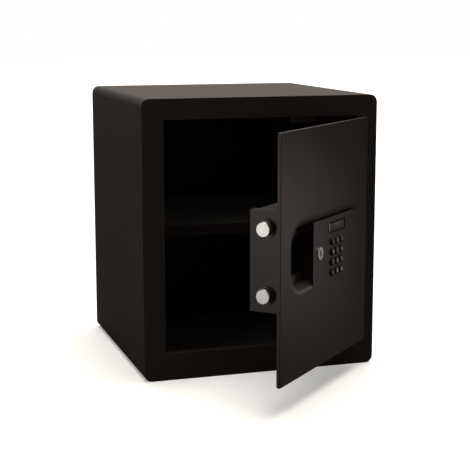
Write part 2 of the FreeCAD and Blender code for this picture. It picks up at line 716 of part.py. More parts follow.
def housing():
    """The moulding in the door's cut-out: a soft-lipped scoop at the left and along the top, a
    finger well that runs under the fascia's edge, and a bay for the electronics at the right."""
    under_fascia = door_box(
        FASCIA_LEFT, FAR, FASCIA_THICKNESS, MODULE_DEPTH, -FAR, FASCIA_TOP
    ).common(module_plate(0, 0, MODULE_DEPTH))
    behind_channel = door_box(
        FASCIA_LEFT, FAR, SCOOP_INSET, MODULE_DEPTH, FASCIA_TOP, FAR
    ).common(module_plate(0, 0, MODULE_DEPTH))
    rim = module_plate(0, 0, MODULE_DEPTH).cut(
        module_plate(-SCOOP_INSET, -1, MODULE_DEPTH - MODULE_FLOOR)
    )
    inner_x = MODULE_WIDTH / 2 - SCOOP_INSET + 0.1
    inner_z = MODULE_HEIGHT / 2 - SCOOP_INSET + 0.1
    lip_edges = edges_where(rim, lambda edge: (
        abs(edge.BoundBox.YMin - FRONT) < 0.01 and abs(edge.BoundBox.YMax - FRONT) < 0.01
        and max(abs(edge.BoundBox.XMin), abs(edge.BoundBox.XMax)) < inner_x
        and max(abs(edge.BoundBox.ZMin - MODULE_Z), abs(edge.BoundBox.ZMax - MODULE_Z)) < inner_z
    ))
    rim = rim.makeFillet(SCOOP_LIP_RADIUS, lip_edges)
    fascia_seat = door_box(FASCIA_LEFT - FASCIA_GAP, FAR, -1, FASCIA_THICKNESS, -FAR, FASCIA_TOP)
    rim = rim.cut(fascia_seat)
    flange = module_plate(
        MODULE_FLANGE, DOOR_THICKNESS, DOOR_THICKNESS + MODULE_FLANGE_THICKNESS
    ).cut(module_plate(-1, 0, MODULE_DEPTH))
    ear_low = MODULE_HEIGHT / 2 - 1
    ear_high = MODULE_HEIGHT / 2 + EAR_TAB_HEIGHT
    tabs = []
    for x in (EAR_TAB_LEFT, EAR_TAB_RIGHT):
        for low, high in ((ear_low, ear_high), (-ear_high, -ear_low)):
            tabs.append(door_box(
                x - EAR_TAB_LENGTH / 2, x + EAR_TAB_LENGTH / 2, DOOR_THICKNESS,
                DOOR_THICKNESS + MODULE_FLANGE_THICKNESS, low, high,
            ))
    pocket_floor = MODULE_DEPTH - MODULE_FLOOR
    well_right = FASCIA_LEFT + WELL_UNDERCUT
    well_shell = rounded_plate(
        WELL_LEFT - WELL_WALL, well_right + WELL_WALL,
        MODULE_Z - WELL_HALF_HEIGHT - WELL_WALL, MODULE_Z + WELL_HALF_HEIGHT + WELL_WALL,
        WELL_CORNER_RADIUS, FRONT + pocket_floor, FRONT + WELL_DEPTH + MODULE_FLOOR,
    )
    body = rim.fuse([under_fascia, behind_channel, flange, well_shell] + tabs).removeSplitter()
    well = rounded_plate(
        WELL_LEFT, well_right, MODULE_Z - WELL_HALF_HEIGHT, MODULE_Z + WELL_HALF_HEIGHT,
        WELL_CORNER_RADIUS - 1, FRONT + MODULE_DEPTH, FRONT + WELL_DEPTH,
    )
    well_mouth = rounded_plate(
        WELL_LEFT, well_right, MODULE_Z - WELL_HALF_HEIGHT, MODULE_Z + WELL_HALF_HEIGHT,
        WELL_CORNER_RADIUS - 1, FRONT + pocket_floor - 1, FRONT + MODULE_DEPTH + 1,
    ).common(door_box(-FAR, FASCIA_LEFT, 0, WELL_DEPTH, -FAR, FAR))
    bay = module_plate(-BAY_RIM, FASCIA_THICKNESS - 1, pocket_floor).common(
        door_box(FASCIA_LEFT + BAY_WALL, FAR, 0, FAR, -FAR, FASCIA_TOP - BAY_RIM)
    )
    body = body.cut(well).cut(well_mouth).cut(bay)
    body = body.cut(door_rod(
        CYLINDER_X, CYLINDER_Z, CYLINDER_RADIUS + BORE_GAP, 0, MODULE_DEPTH + 1
    ))
    for x, z in board_boss_places():
        boss = door_rod(x, z, BOARD_BOSS_RADIUS, BOARD_DEPTH + BOARD_THICKNESS, pocket_floor)
        body = body.fuse(boss)
    for x, z, _ in screw_places_on_door():
        hole = door_rod(x, z, SCREW_RADIUS + SCREW_GAP, DOOR_THICKNESS, MODULE_DEPTH)
        body = body.cut(hole)
    keep_on_door("module_housing", body.removeSplitter())


def fascia():
    """The flush panel with the display window, the key holes and the override lock's hole."""
    panel = module_plate(-FASCIA_GAP / 2, 0, FASCIA_THICKNESS).common(
        door_box(FASCIA_LEFT, FAR, -1, FAR, -FAR, FASCIA_TOP - FASCIA_GAP)
    )
    for _, x, z in key_places():
        panel = panel.cut(door_rod(x, z, KEY_RADIUS + KEY_HOLE_GAP, -1, FASCIA_THICKNESS + 1))
    window = door_box(
        KEY_MIDDLE_COLUMN - LENS_WIDTH / 2 - KEY_HOLE_GAP,
        KEY_MIDDLE_COLUMN + LENS_WIDTH / 2 + KEY_HOLE_GAP,
        -1, FASCIA_THICKNESS + 1,
        LENS_BOTTOM - KEY_HOLE_GAP, LENS_BOTTOM + LENS_HEIGHT + KEY_HOLE_GAP,
    )
    panel = panel.cut(window)
    panel = panel.cut(door_rod(
        CYLINDER_X, CYLINDER_Z, CYLINDER_RADIUS + BORE_GAP, -1, FASCIA_THICKNESS + 1
    ))
    keep_on_door("control_fascia", panel)


def keys_and_display():
    """Twelve keys on a silicone mat, the display and its lens, and the board behind them."""
    flange_front = FASCIA_THICKNESS + DOME_GAP
    flange_back = flange_front + KEY_FLANGE_THICKNESS
    for name, x, z in key_places():
        cap = door_rod(x, z, KEY_RADIUS, -KEY_PROUD, flange_front)
        crown = edges_where(
            cap, lambda edge: abs(edge.BoundBox.YMax - (FRONT - KEY_PROUD)) < 0.01
        )
        cap = cap.makeFillet(KEY_EDGE_RADIUS, crown)
        flange = door_rod(x, z, KEY_FLANGE_RADIUS, flange_front, flange_back)
        keep_on_door(name, cap.fuse(flange).removeSplitter())
    left, right, bottom, top = board_extent()
    board = door_box(left, right, BOARD_DEPTH, BOARD_DEPTH + BOARD_THICKNESS, bottom, top)
    keep_on_door("keypad_board", board)
    dome_front = flange_back + KEY_TRAVEL + DOME_GAP
    sheet_front = BOARD_DEPTH - MAT_SHEET
    mat = door_box(
        KEY_MIDDLE_COLUMN - KEY_COLUMN_PITCH - KEY_FLANGE_RADIUS,
        KEY_MIDDLE_COLUMN + KEY_COLUMN_PITCH + KEY_FLANGE_RADIUS,
        sheet_front, BOARD_DEPTH, bottom, KEY_TOP_ROW + KEY_FLANGE_RADIUS,
    )
    domes = [door_rod(x, z, DOME_RADIUS, dome_front, sheet_front) for _, x, z in key_places()]
    keep_on_door("key_mat", mat.fuse(domes).removeSplitter())
    lens_left = KEY_MIDDLE_COLUMN - LENS_WIDTH / 2
    lens_right = KEY_MIDDLE_COLUMN + LENS_WIDTH / 2
    lens = door_box(
        lens_left, lens_right, -LENS_PROUD, FASCIA_THICKNESS - DOME_GAP,
        LENS_BOTTOM, LENS_BOTTOM + LENS_HEIGHT,
    )
    keep_on_door("display_lens", lens)
    display = door_box(
        lens_left - DISPLAY_BORDER, lens_right + DISPLAY_BORDER, FASCIA_THICKNESS + DOME_GAP,
        BOARD_DEPTH, LENS_BOTTOM - DISPLAY_BORDER, LENS_BOTTOM + LENS_HEIGHT + DISPLAY_BORDER,
    )
    keep_on_door("display_panel", display)


def override_lock():
    """A key cylinder for opening by hand: body and nut, a plug that turns, and its cam."""
    face = door_rod(CYLINDER_X, CYLINDER_Z, CYLINDER_FACE_RADIUS, -CYLINDER_FACE_PROUD, 0)
    barrel = door_rod(CYLINDER_X, CYLINDER_Z, CYLINDER_RADIUS, 0, CYLINDER_LENGTH)
    bore = door_rod(
        CYLINDER_X, CYLINDER_Z, PLUG_RADIUS + BORE_GAP, -CYLINDER_FACE_PROUD - 1,
        CYLINDER_LENGTH + 1,
    )
    nut = door_rod(
        CYLINDER_X, CYLINDER_Z, CYLINDER_NUT_RADIUS, MODULE_DEPTH,
        MODULE_DEPTH + CYLINDER_NUT_THICKNESS,
    ).cut(door_rod(
        CYLINDER_X, CYLINDER_Z, CYLINDER_RADIUS + BORE_GAP, MODULE_DEPTH - 1,
        MODULE_DEPTH + CYLINDER_NUT_THICKNESS + 1,
    ))
    keep_on_door("cylinder_body", face.fuse(barrel).removeSplitter().cut(bore), nut)
    cam_front = CYLINDER_LENGTH + PLUG_OVERRUN
    cam_back = cam_front + CAM_THICKNESS
    plug = door_rod(CYLINDER_X, CYLINDER_Z, PLUG_RADIUS, -CYLINDER_FACE_PROUD, cam_front)
    tail = door_rod(CYLINDER_X, CYLINDER_Z, PLUG_TAIL_RADIUS, cam_front, cam_back + 1)
    keyway = door_box(
        CYLINDER_X - KEYWAY_WIDTH / 2, CYLINDER_X + KEYWAY_WIDTH / 2,
        -CYLINDER_FACE_PROUD - 1, KEYWAY_DEPTH,
        CYLINDER_Z - KEYWAY_HEIGHT / 2, CYLINDER_Z + KEYWAY_HEIGHT / 2,
    )
    keep_on_door("key_plug", plug.fuse(tail).removeSplitter().cut(keyway))
    hub = door_rod(CYLINDER_X, CYLINDER_Z, CAM_HUB_RADIUS, cam_front, cam_back)
    tip = door_rod(CYLINDER_X, CYLINDER_Z - CAM_LENGTH, CAM_TIP_RADIUS, cam_front, cam_back)
    arm = door_box(
        CYLINDER_X - CAM_TIP_RADIUS, CYLINDER_X + CAM_TIP_RADIUS, cam_front, cam_back,
        CYLINDER_Z - CAM_LENGTH, CYLINDER_Z,
    )
    socket = door_rod(
        CYLINDER_X, CYLINDER_Z, PLUG_TAIL_RADIUS + BORE_GAP, cam_front - 1, cam_back + 1
    )
    keep_on_door("plug_cam", hub.fuse([tip, arm]).removeSplitter().cut(socket))


# --- Lock case -------------------------------------------------------------------------------
def bracket():
    """The channel at the door's free edge: the bolts slide in its two bushes."""
    high = BRACKET_HALF_HEIGHT
    web = door_box(
        BRACKET_X, BRACKET_X + BRACKET_SHEET, DOOR_THICKNESS, LOCK_CASE_DEPTH, -high, high
    )
    folds = []
    for sign in (1, -1):
        low, top = sorted((sign * high, sign * (high - BRACKET_SHEET)))
        folds.append(door_box(
            BRACKET_X, BRACKET_X + BRACKET_FLANGE, DOOR_THICKNESS, LOCK_CASE_DEPTH, low, top
        ))
        inner = high - BRACKET_SHEET
        low, top = sorted((sign * inner, sign * (inner - BRACKET_FOOT_HEIGHT)))
        folds.append(door_box(
            BRACKET_X + BRACKET_SHEET, BRACKET_X + BRACKET_SHEET + BRACKET_FOOT_LENGTH,
            DOOR_THICKNESS, DOOR_THICKNESS + BRACKET_SHEET, low, top,
        ))
    channel = web.fuse(folds).removeSplitter()
    bushes = []
    for height in BOLT_HEIGHTS:
        channel = channel.cut(across_rod(
            BRACKET_X - 1, BRACKET_X + BRACKET_SHEET + 1, BOLT_DEPTH, height,
            SLEEVE_RADIUS + BORE_GAP,
        ))
        collar = across_rod(
            BRACKET_X - COLLAR_LENGTH, BRACKET_X, BOLT_DEPTH, height, COLLAR_RADIUS
        )
        sleeve = across_rod(
            BRACKET_X, BRACKET_X + SLEEVE_LENGTH, BOLT_DEPTH, height, SLEEVE_RADIUS
        )
        bore = across_rod(
            BRACKET_X - COLLAR_LENGTH - 1, BRACKET_X + SLEEVE_LENGTH + 1, BOLT_DEPTH, height,
            BOLT_RADIUS + BOLT_RUNNING_GAP,
        )
        bushes.append(collar.fuse(sleeve).removeSplitter().cut(bore))
    for x, z, _ in screw_places_on_door():
        channel = channel.cut(door_rod(
            x, z, SCREW_RADIUS + SCREW_GAP, DOOR_THICKNESS - 1, DOOR_THICKNESS + BRACKET_SHEET + 1
        ))
    keep_on_door("lock_bracket", channel)
    keep_on_door("bolt_bushes", *bushes)


def battery_extent():
    """The battery box's outer left, right and half height."""
    right = BATTERY_LEFT + 2 * BATTERY_WALL + CELL_LENGTH + 2 * BATTERY_END_SPACE
    half_height = CELL_COUNT * CELL_PITCH / 2 + BATTERY_WALL
    return BATTERY_LEFT, right, half_height


def button_place():
    left, right, half_height = battery_extent()
    return (left + right) / 2, half_height + BUTTON_CLEARANCE


def case_cover():
    """The folded cover over the mechanism, with the battery window and the button's hole."""
    half = cover_half_height()
    left = BRACKET_X + BRACKET_SHEET + COVER_SEAM
    outer = door_box(left, COVER_RIGHT, DOOR_THICKNESS, LOCK_CASE_DEPTH, -half, half)
    inner = door_box(
        left - 1, COVER_RIGHT - COVER_SHEET, DOOR_THICKNESS - 1, LOCK_CASE_DEPTH - COVER_SHEET,
        -half + COVER_SHEET, half - COVER_SHEET,
    )
    foot = door_box(
        left - 1, BRACKET_X + BRACKET_SHEET + BRACKET_FOOT_LENGTH + COVER_SEAM,
        DOOR_THICKNESS - 1, DOOR_THICKNESS + BRACKET_SHEET + COVER_SEAM, -half - 1, half + 1,
    )
    cover = outer.cut(inner).cut(foot)
    tabs = []
    for x in COVER_TAB_PLACES:
        for sign in (1, -1):
            low, high = sorted((sign * (half - COVER_SHEET), sign * (half + COVER_TAB_HEIGHT)))
            tabs.append(door_box(
                x - COVER_TAB_LENGTH / 2, x + COVER_TAB_LENGTH / 2, DOOR_THICKNESS,
                DOOR_THICKNESS + COVER_SHEET, low, high,
            ))
    cover = cover.fuse(tabs).removeSplitter()
    battery_left, battery_right, battery_half = battery_extent()
    seat = BATTERY_SEAT
    cover = cover.cut(door_box(
        battery_left + seat, battery_right - seat, LOCK_CASE_DEPTH - 2 * COVER_SHEET,
        LOCK_CASE_DEPTH + 1, -battery_half + seat, battery_half - seat,
    ))
    button_x, button_z = button_place()
    cover = cover.cut(door_rod(
        button_x, button_z, BUTTON_RADIUS + KEY_HOLE_GAP, LOCK_CASE_DEPTH - 2 * COVER_SHEET,
        LOCK_CASE_DEPTH + 1,
    ))
    for x, z, _ in screw_places_on_door():
        cover = cover.cut(door_rod(
            x, z, SCREW_RADIUS + SCREW_GAP, DOOR_THICKNESS - 1, DOOR_THICKNESS + COVER_SHEET + 1
        ))
    keep_on_door("lock_cover", cover)


def chassis():
    """The inner plate on four posts that carries the gearbox and guides the rack."""
    plate = door_box(
        POST_LEFT - CHASSIS_EDGE, POST_RIGHT + CHASSIS_EDGE, CHASSIS_FRONT,
        CHASSIS_FRONT + CHASSIS_SHEET, -CHASSIS_HALF_HEIGHT, CHASSIS_HALF_HEIGHT,
    )
    posts = []
    screws = []
    for x in (POST_LEFT, POST_RIGHT):
        for z in (POST_HALF_HEIGHT, -POST_HALF_HEIGHT):
            hole = door_rod(
                x, z, SCREW_RADIUS + SCREW_GAP, CHASSIS_FRONT - 2 * SCREW_BITE,
                CHASSIS_FRONT + CHASSIS_SHEET + 1,
            )
            plate = plate.cut(hole)
            posts.append(door_rod(x, z, POST_RADIUS, DOOR_THICKNESS, CHASSIS_FRONT).cut(hole))
            screws.append(small_screw(
                x, z, CHASSIS_FRONT + CHASSIS_SHEET, CHASSIS_FRONT - 2 * SCREW_BITE
            ))
    plate = plate.cut(door_rod(
        PINION_X, PINION_Z, PINION_SHAFT_RADIUS + BORE_GAP, CHASSIS_FRONT - 1,
        CHASSIS_FRONT + CHASSIS_SHEET + 1,
    ))
    for x, z, sheet in screw_places_on_door():
        screws.append(small_screw(x, z, DOOR_THICKNESS + sheet, DOOR_THICKNESS - SCREW_BITE))
    keep_on_door("lock_chassis", plate)
    keep_on_door("chassis_posts", *posts)
    keep_on_door("lock_screws", *screws)


# --- Bolts and drive -------------------------------------------------------------------------
def rack_line():
    """Height of the rack's pitch line over the pinion."""
    return PINION_Z + GEAR_MODULE * PINION_TEETH / 2 + MESH_GAP


def bolts():
    """Two round bolts screwed to one yoke, which the rack pulls and pushes."""
    left = BRACKET_X - BOLT_OUT
    right = left + BOLT_LENGTH
    pads = []
    screws = []
    for name, height in zip(("upper_bolt", "lower_bolt"), BOLT_HEIGHTS):
        bolt = across_rod(left, right, BOLT_DEPTH, height, BOLT_RADIUS)
        nose = edges_where(bolt, lambda edge: abs(edge.BoundBox.XMax - left) < 0.01)
        bolt = bolt.makeChamfer(BOLT_CHAMFER, nose)
        hole = across_rod(
            right - CARRIAGE_SCREW_LENGTH + YOKE_THICKNESS, right + 2 * YOKE_THICKNESS,
            BOLT_DEPTH, height, CARRIAGE_SCREW_RADIUS + SCREW_GAP,
        )
        keep_on_door(name, bolt.cut(hole))
        pad = door_box(
            right, right + YOKE_THICKNESS, YOKE_FRONT, YOKE_BACK,
            height - YOKE_PAD_HALF, height + YOKE_PAD_HALF,
        )
        pads.append(pad.cut(hole))
        shank = across_rod(
            right - CARRIAGE_SCREW_LENGTH + YOKE_THICKNESS, right + YOKE_THICKNESS,
            BOLT_DEPTH, height, CARRIAGE_SCREW_RADIUS,
        )
        head = across_rod(
            right + YOKE_THICKNESS, right + 2 * YOKE_THICKNESS, BOLT_DEPTH, height,
            CARRIAGE_SCREW_RADIUS + 2,
        )
        screws.append(shank.fuse(head).removeSplitter())
    bridge = door_box(
        right, right + YOKE_THICKNESS, YOKE_BRIDGE_FRONT, YOKE_BACK,
        -BOLT_SPACING / 2, BOLT_SPACING / 2,
    )
    for height in BOLT_HEIGHTS:
        bridge = bridge.cut(across_rod(
            right - 1, right + YOKE_THICKNESS + 1, BOLT_DEPTH, height,
            CARRIAGE_SCREW_RADIUS + SCREW_GAP,
        ))
    keep_on_door("bolt_carriage", bridge.fuse(pads).removeSplitter())
    keep_on_door("carriage_screws", *screws)
    return right + YOKE_THICKNESS


def drive(rack_left):
    """The rack on the yoke, the pinion that meshes below it, and the gearbox with its motor."""
    pitch = math.pi * GEAR_MODULE
    slope = math.tan(math.radians(20))
    half = pitch / 4 - TOOTH_SLACK / 2
    tip = GEAR_MODULE
    root = -1.25 * GEAR_MODULE
    profile = ((half - root * slope, root), (half, 0.0), (half - tip * slope, tip))
    line = rack_line()
    radius = GEAR_MODULE * PINION_TEETH / 2
    body_low = line - root
    first = PINION_X - 3.5 * pitch
    right = first + (RACK_TOOTH_COUNT - 0.5) * pitch
    rack = door_box(
        rack_left, right, RACK_FRONT, RACK_FRONT + RACK_THICKNESS,
        body_low, body_low + RACK_BODY_HEIGHT,
    )
    foot = door_box(
        rack_left, rack_left + YOKE_THICKNESS, YOKE_BRIDGE_FRONT + 1, RACK_FRONT + RACK_THICKNESS,
        -RACK_BODY_HEIGHT, body_low + RACK_BODY_HEIGHT,
    )
    teeth = []
    for index in range(RACK_TOOTH_COUNT):
        middle = first + index * pitch
        left_side = [(middle - w, line - h) for w, h in profile]
        right_side = [(middle + w, line - h) for w, h in reversed(profile)]
        corners = [
            at(x, FRONT + RACK_FRONT, MODULE_Z + z) for x, z in left_side + right_side
        ]
        face = Part.Face(Part.makePolygon(corners + corners[:1]))
        teeth.append(face.extrude(at(0, RACK_THICKNESS, 0)))
    keep_on_door("drive_rack", rack.fuse([foot] + teeth).removeSplitter())

    outline_points = []
    step = 2 * math.pi / PINION_TEETH
    for index in range(PINION_TEETH):
        middle = math.pi / 2 + index * step
        angles = [(-w / (radius + h), radius + h) for w, h in profile]
        angles += [(w / (radius + h), radius + h) for w, h in reversed(profile)]
        for angle, reach in angles:
            outline_points.append((
                PINION_X + reach * math.cos(middle + angle),
                PINION_Z + reach * math.sin(middle + angle),
            ))
    corners = [at(x, FRONT + RACK_FRONT, MODULE_Z + z) for x, z in outline_points]
    wheel = Part.Face(Part.makePolygon(corners + corners[:1])).extrude(at(0, RACK_THICKNESS, 0))
    shaft = door_rod(
        PINION_X, PINION_Z, PINION_SHAFT_RADIUS, GEARBOX_BACK - SHAFT_SEAT,
        CHASSIS_FRONT + CHASSIS_SHEET,
    )
    keep_on_door("drive_pinion", wheel.fuse(shaft).removeSplitter())

    gearbox = door_box(
        PINION_X - GEARBOX_HALF_WIDTH, PINION_X + GEARBOX_HALF_WIDTH, GEARBOX_FRONT, GEARBOX_BACK,
        GEARBOX_BOTTOM, GEARBOX_TOP,
    )
    boss_z = GEARBOX_BOTTOM + GEARBOX_BOSS_RADIUS + 1
    boss_reach = GEARBOX_HALF_WIDTH - GEARBOX_BOSS_RADIUS - 1
    bosses = [
        door_rod(PINION_X + side, boss_z, GEARBOX_BOSS_RADIUS, GEARBOX_BACK, CHASSIS_FRONT)
        for side in (-boss_reach, boss_reach)
    ]
    seat = door_rod(
        PINION_X, PINION_Z, PINION_SHAFT_RADIUS + BORE_GAP, GEARBOX_BACK - SHAFT_SEAT - 0.5,
        GEARBOX_BACK + 1,
    )
    keep_on_door("gearbox", gearbox.fuse(bosses).removeSplitter().cut(seat))
    motor_depth = GEARBOX_FRONT + MOTOR_RADIUS
    down = at(0, 0, -1)
    neck = rod(
        PINION_X, FRONT + motor_depth, MODULE_Z + GEARBOX_BOTTOM, MOTOR_NECK_RADIUS,
        MOTOR_NECK_LENGTH, down,
    )
    can = rod(
        PINION_X, FRONT + motor_depth, MODULE_Z + GEARBOX_BOTTOM - MOTOR_NECK_LENGTH,
        MOTOR_RADIUS, MOTOR_LENGTH, down,
    )
    keep_on_door("motor", can.fuse(neck).removeSplitter())

    guides = []
    rack_top = body_low + RACK_BODY_HEIGHT
    reach = GUIDE_RADIUS + GUIDE_GAP
    for x, z in (
        (rack_left + 2 * BOLT_TRAVEL, rack_top + reach),
        (rack_left + 2 * BOLT_TRAVEL, body_low - reach),
        (PINION_X, rack_top + reach),
    ):
        guides.append(door_rod(x, z, GUIDE_RADIUS, RACK_FRONT, CHASSIS_FRONT))
    keep_on_door("rack_guides", *guides)


# --- Power and code button -------------------------------------------------------------------
def power():
    """The battery box behind the cover's window, its four cells and its lid."""
    left, right, half = battery_extent()
    panel_front = LOCK_CASE_DEPTH - COVER_SHEET
    cell_depth = panel_front - CELL_RADIUS - 2 * BATTERY_WALL
    floor = cell_depth - CELL_RADIUS - CELL_GAP
    shell = door_box(left, right, floor - BATTERY_WALL, panel_front, -half, half)
    rim = door_box(
        left - BATTERY_FLANGE, right + BATTERY_FLANGE, panel_front - BATTERY_WALL, panel_front,
        -half - BATTERY_FLANGE, half + BATTERY_FLANGE,
    )
    hollow = door_box(
        left + BATTERY_WALL, right - BATTERY_WALL, floor, panel_front + 1,
        -half + BATTERY_WALL, half - BATTERY_WALL,
    )
    button_x, button_z = button_place()
    switch_back = LOCK_CASE_DEPTH + BUTTON_PROUD - BUTTON_STEM - BUTTON_TRAVEL - LYING_GAP
    ledge = door_box(
        button_x - LEDGE_HALF_WIDTH, button_x + LEDGE_HALF_WIDTH,
        switch_back - SWITCH_HEIGHT - LEDGE_THICKNESS, switch_back - SWITCH_HEIGHT,
        half - BATTERY_WALL, button_z + SWITCH_HALF,
    )
    keep_on_door("battery_box", shell.fuse([rim, ledge]).removeSplitter().cut(hollow))
    keep_on_door("reset_switch", door_box(
        button_x - SWITCH_HALF, button_x + SWITCH_HALF, switch_back - SWITCH_HEIGHT, switch_back,
        button_z - SWITCH_HALF, button_z + SWITCH_HALF,
    ))
    cells = []
    for index in range(CELL_COUNT):
        z = (index - (CELL_COUNT - 1) / 2) * CELL_PITCH
        start = left + BATTERY_WALL + BATTERY_END_SPACE
        can = across_rod(start, start + CELL_LENGTH, cell_depth, z, CELL_RADIUS)
        if index % 2 == 0:
            nipple = across_rod(
                start + CELL_LENGTH, start + CELL_LENGTH + CELL_NIPPLE_LENGTH, cell_depth, z,
                CELL_NIPPLE_RADIUS,
            )
        else:
            nipple = across_rod(
                start - CELL_NIPPLE_LENGTH, start, cell_depth, z, CELL_NIPPLE_RADIUS
            )
        cells.append(can.fuse(nipple).removeSplitter())
    keep_on_door("batteries", *cells)
    inset = BATTERY_SEAT + BATTERY_DOOR_GAP
    keep_on_door("battery_door", door_box(
        left + inset, right - inset, panel_front, panel_front + BATTERY_DOOR_THICKNESS,
        -half + inset, half - inset,
    ))
    stem_back = LOCK_CASE_DEPTH + BUTTON_PROUD
    stem = door_rod(button_x, button_z, BUTTON_RADIUS, stem_back - BUTTON_STEM, stem_back)
    flange_back = panel_front - LYING_GAP
    flange = door_rod(
        button_x, button_z, BUTTON_FLANGE_RADIUS, flange_back - BUTTON_FLANGE_THICKNESS, flange_back
    )
    keep_on_door("reset_button", stem.fuse(flange).removeSplitter())


def build():
    body_shell()
    back_sheet()
    front_sheet()
    strike()
    stops()
    shelf()
    mats()
    fixed_hinge_parts()
    hinge_screw_places = hinge_arms()
    door_sheet(hinge_screw_places)
    housing()
    fascia()
    keys_and_display()
    override_lock()
    bracket()
    case_cover()
    chassis()
    rack_left = bolts()
    drive(rack_left)
    power()
    os.makedirs("parts", exist_ok=True)
    for name, shape in PIECES.items():
        shape.exportStep("parts/" + name + ".step")
        print(name, len(shape.Solids), "valid" if shape.isValid() else "NOT VALID")
    print(len(PIECES), "nodes")


build()
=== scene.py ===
# An office safe with its door standing open: a folded steel body with a felt-lined shelf, a plate door
# on gooseneck hinges, a keypad with a finger pocket, and two round bolts. Metres, X right, Y back, Z up.
import json
import math

import bmesh
import bpy
from mathutils import Matrix, Vector, noise


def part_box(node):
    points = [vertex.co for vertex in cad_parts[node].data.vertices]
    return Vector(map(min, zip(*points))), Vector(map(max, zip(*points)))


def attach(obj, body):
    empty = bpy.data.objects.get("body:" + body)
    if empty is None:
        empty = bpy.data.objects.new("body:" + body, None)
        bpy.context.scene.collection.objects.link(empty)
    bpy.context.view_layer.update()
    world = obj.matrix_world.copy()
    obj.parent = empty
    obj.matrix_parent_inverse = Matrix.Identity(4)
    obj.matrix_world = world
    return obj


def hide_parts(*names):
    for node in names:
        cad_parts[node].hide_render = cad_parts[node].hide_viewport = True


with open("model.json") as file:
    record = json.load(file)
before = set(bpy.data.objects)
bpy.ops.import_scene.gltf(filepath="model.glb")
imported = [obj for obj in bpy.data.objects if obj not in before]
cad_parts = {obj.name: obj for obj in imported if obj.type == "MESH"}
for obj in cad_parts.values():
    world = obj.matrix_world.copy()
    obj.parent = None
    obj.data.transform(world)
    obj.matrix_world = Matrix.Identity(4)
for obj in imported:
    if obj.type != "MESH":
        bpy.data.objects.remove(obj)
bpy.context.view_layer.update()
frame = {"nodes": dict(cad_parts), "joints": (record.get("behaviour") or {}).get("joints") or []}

MM = 0.001
scene = bpy.context.scene

# --- Camera ------------------------------------------------------------------------------------
# A long lens a little left of the safe and just above it, looking slightly down. The lens length
# is for a 36 mm wide sensor.
CAMERA_PLACE = (-0.5613, -1.7970, 0.5092)
CAMERA_TURN = math.radians(17.741)
CAMERA_DROP = math.radians(10.092)
LENS_LENGTH = 93.58
SENSOR_WIDTH = 36.0
camera = bpy.data.objects.new("camera", bpy.data.cameras.new("camera"))
camera.data.lens = LENS_LENGTH
camera.data.sensor_width = SENSOR_WIDTH
camera.location = CAMERA_PLACE
camera.rotation_euler = (math.pi / 2 - CAMERA_DROP, 0, -CAMERA_TURN)
scene.collection.objects.link(camera)
scene.camera = camera
scene.view_settings.view_transform = "Standard"


# --- Floor and studio light --------------------------------------------------------------------
# A wide pale floor under a soft high lamp, with a soft box low at each side of the safe: a weak one at
# the right and a stronger one at the left. The room is pale and brightest behind the safe, with a
# dark flag at each side. The camera sees its walls and floor near white.
def add_node(tree, kind, sockets=None, **settings):
    """Adds a node. Sockets maps an input's name or number to a value, or to an output to link."""
    node = tree.nodes.new(kind)
    for name, value in settings.items():
        setattr(node, name, value)
    for name, value in (sockets or {}).items():
        if isinstance(value, bpy.types.NodeSocket):
            tree.links.new(value, node.inputs[name])
        else:
            node.inputs[name].default_value = value
    return node


def linear(hex_colour):
    """An sRGB hex colour as linear red, green, blue and alpha."""
    channels = [int(hex_colour[i:i + 2], 16) / 255 for i in (1, 3, 5)]
    return tuple(
        c / 12.92 if c <= 0.04045 else ((c + 0.055) / 1.055) ** 2.4 for c in channels
    ) + (1.0,)


def new_finish(name):
    """An empty material and its node tree."""
    material = bpy.data.materials.new(name)
    material.use_nodes = True
    material.node_tree.nodes.clear()
    return material, material.node_tree


floor_finish, tree = new_finish("pale_floor")
seen = add_node(tree, "ShaderNodeLightPath").outputs["Is Camera Ray"]
dust = add_node(tree, "ShaderNodeTexNoise", {"Scale": 3.0, "Detail": 3.0}).outputs["Fac"]
pale = add_node(tree, "ShaderNodeMix", {
    "Factor": dust, "A": linear("#f6f6f5"), "B": linear("#fafaf9"),
}, data_type="RGBA").outputs["Result"]
shade = add_node(tree, "ShaderNodeMix", {
    "Factor": seen, "A": linear("#4c4b49"), "B": pale,
}, data_type="RGBA").outputs["Result"]
glow = add_node(tree, "ShaderNodeMix", {
    "Factor": seen, "A": (0.0, 0.0, 0.0, 1.0), "B": pale,
}, data_type="RGBA").outputs["Result"]
paper = add_node(tree, "ShaderNodeBsdfPrincipled", {
    "Base Color": shade, "Roughness": 0.9, "Specular IOR Level": 0.0,
    "Emission Color": glow, "Emission Strength": 0.35,
})
add_node(tree, "ShaderNodeOutputMaterial", {"Surface": paper.outputs[0]})

FLOOR_HALF = 14.0
floor_mesh = bpy.data.meshes.new("studio_floor")
floor_mesh.from_pydata(
    [(x * FLOOR_HALF, y * FLOOR_HALF, 0) for x, y in ((-1, -1), (1, -1), (1, 1), (-1, 1))],
    [], [(0, 1, 2, 3)],
)
floor_mesh.materials.append(floor_finish)
studio_floor = bpy.data.objects.new("studio_floor", floor_mesh)
scene.collection.objects.link(studio_floor)

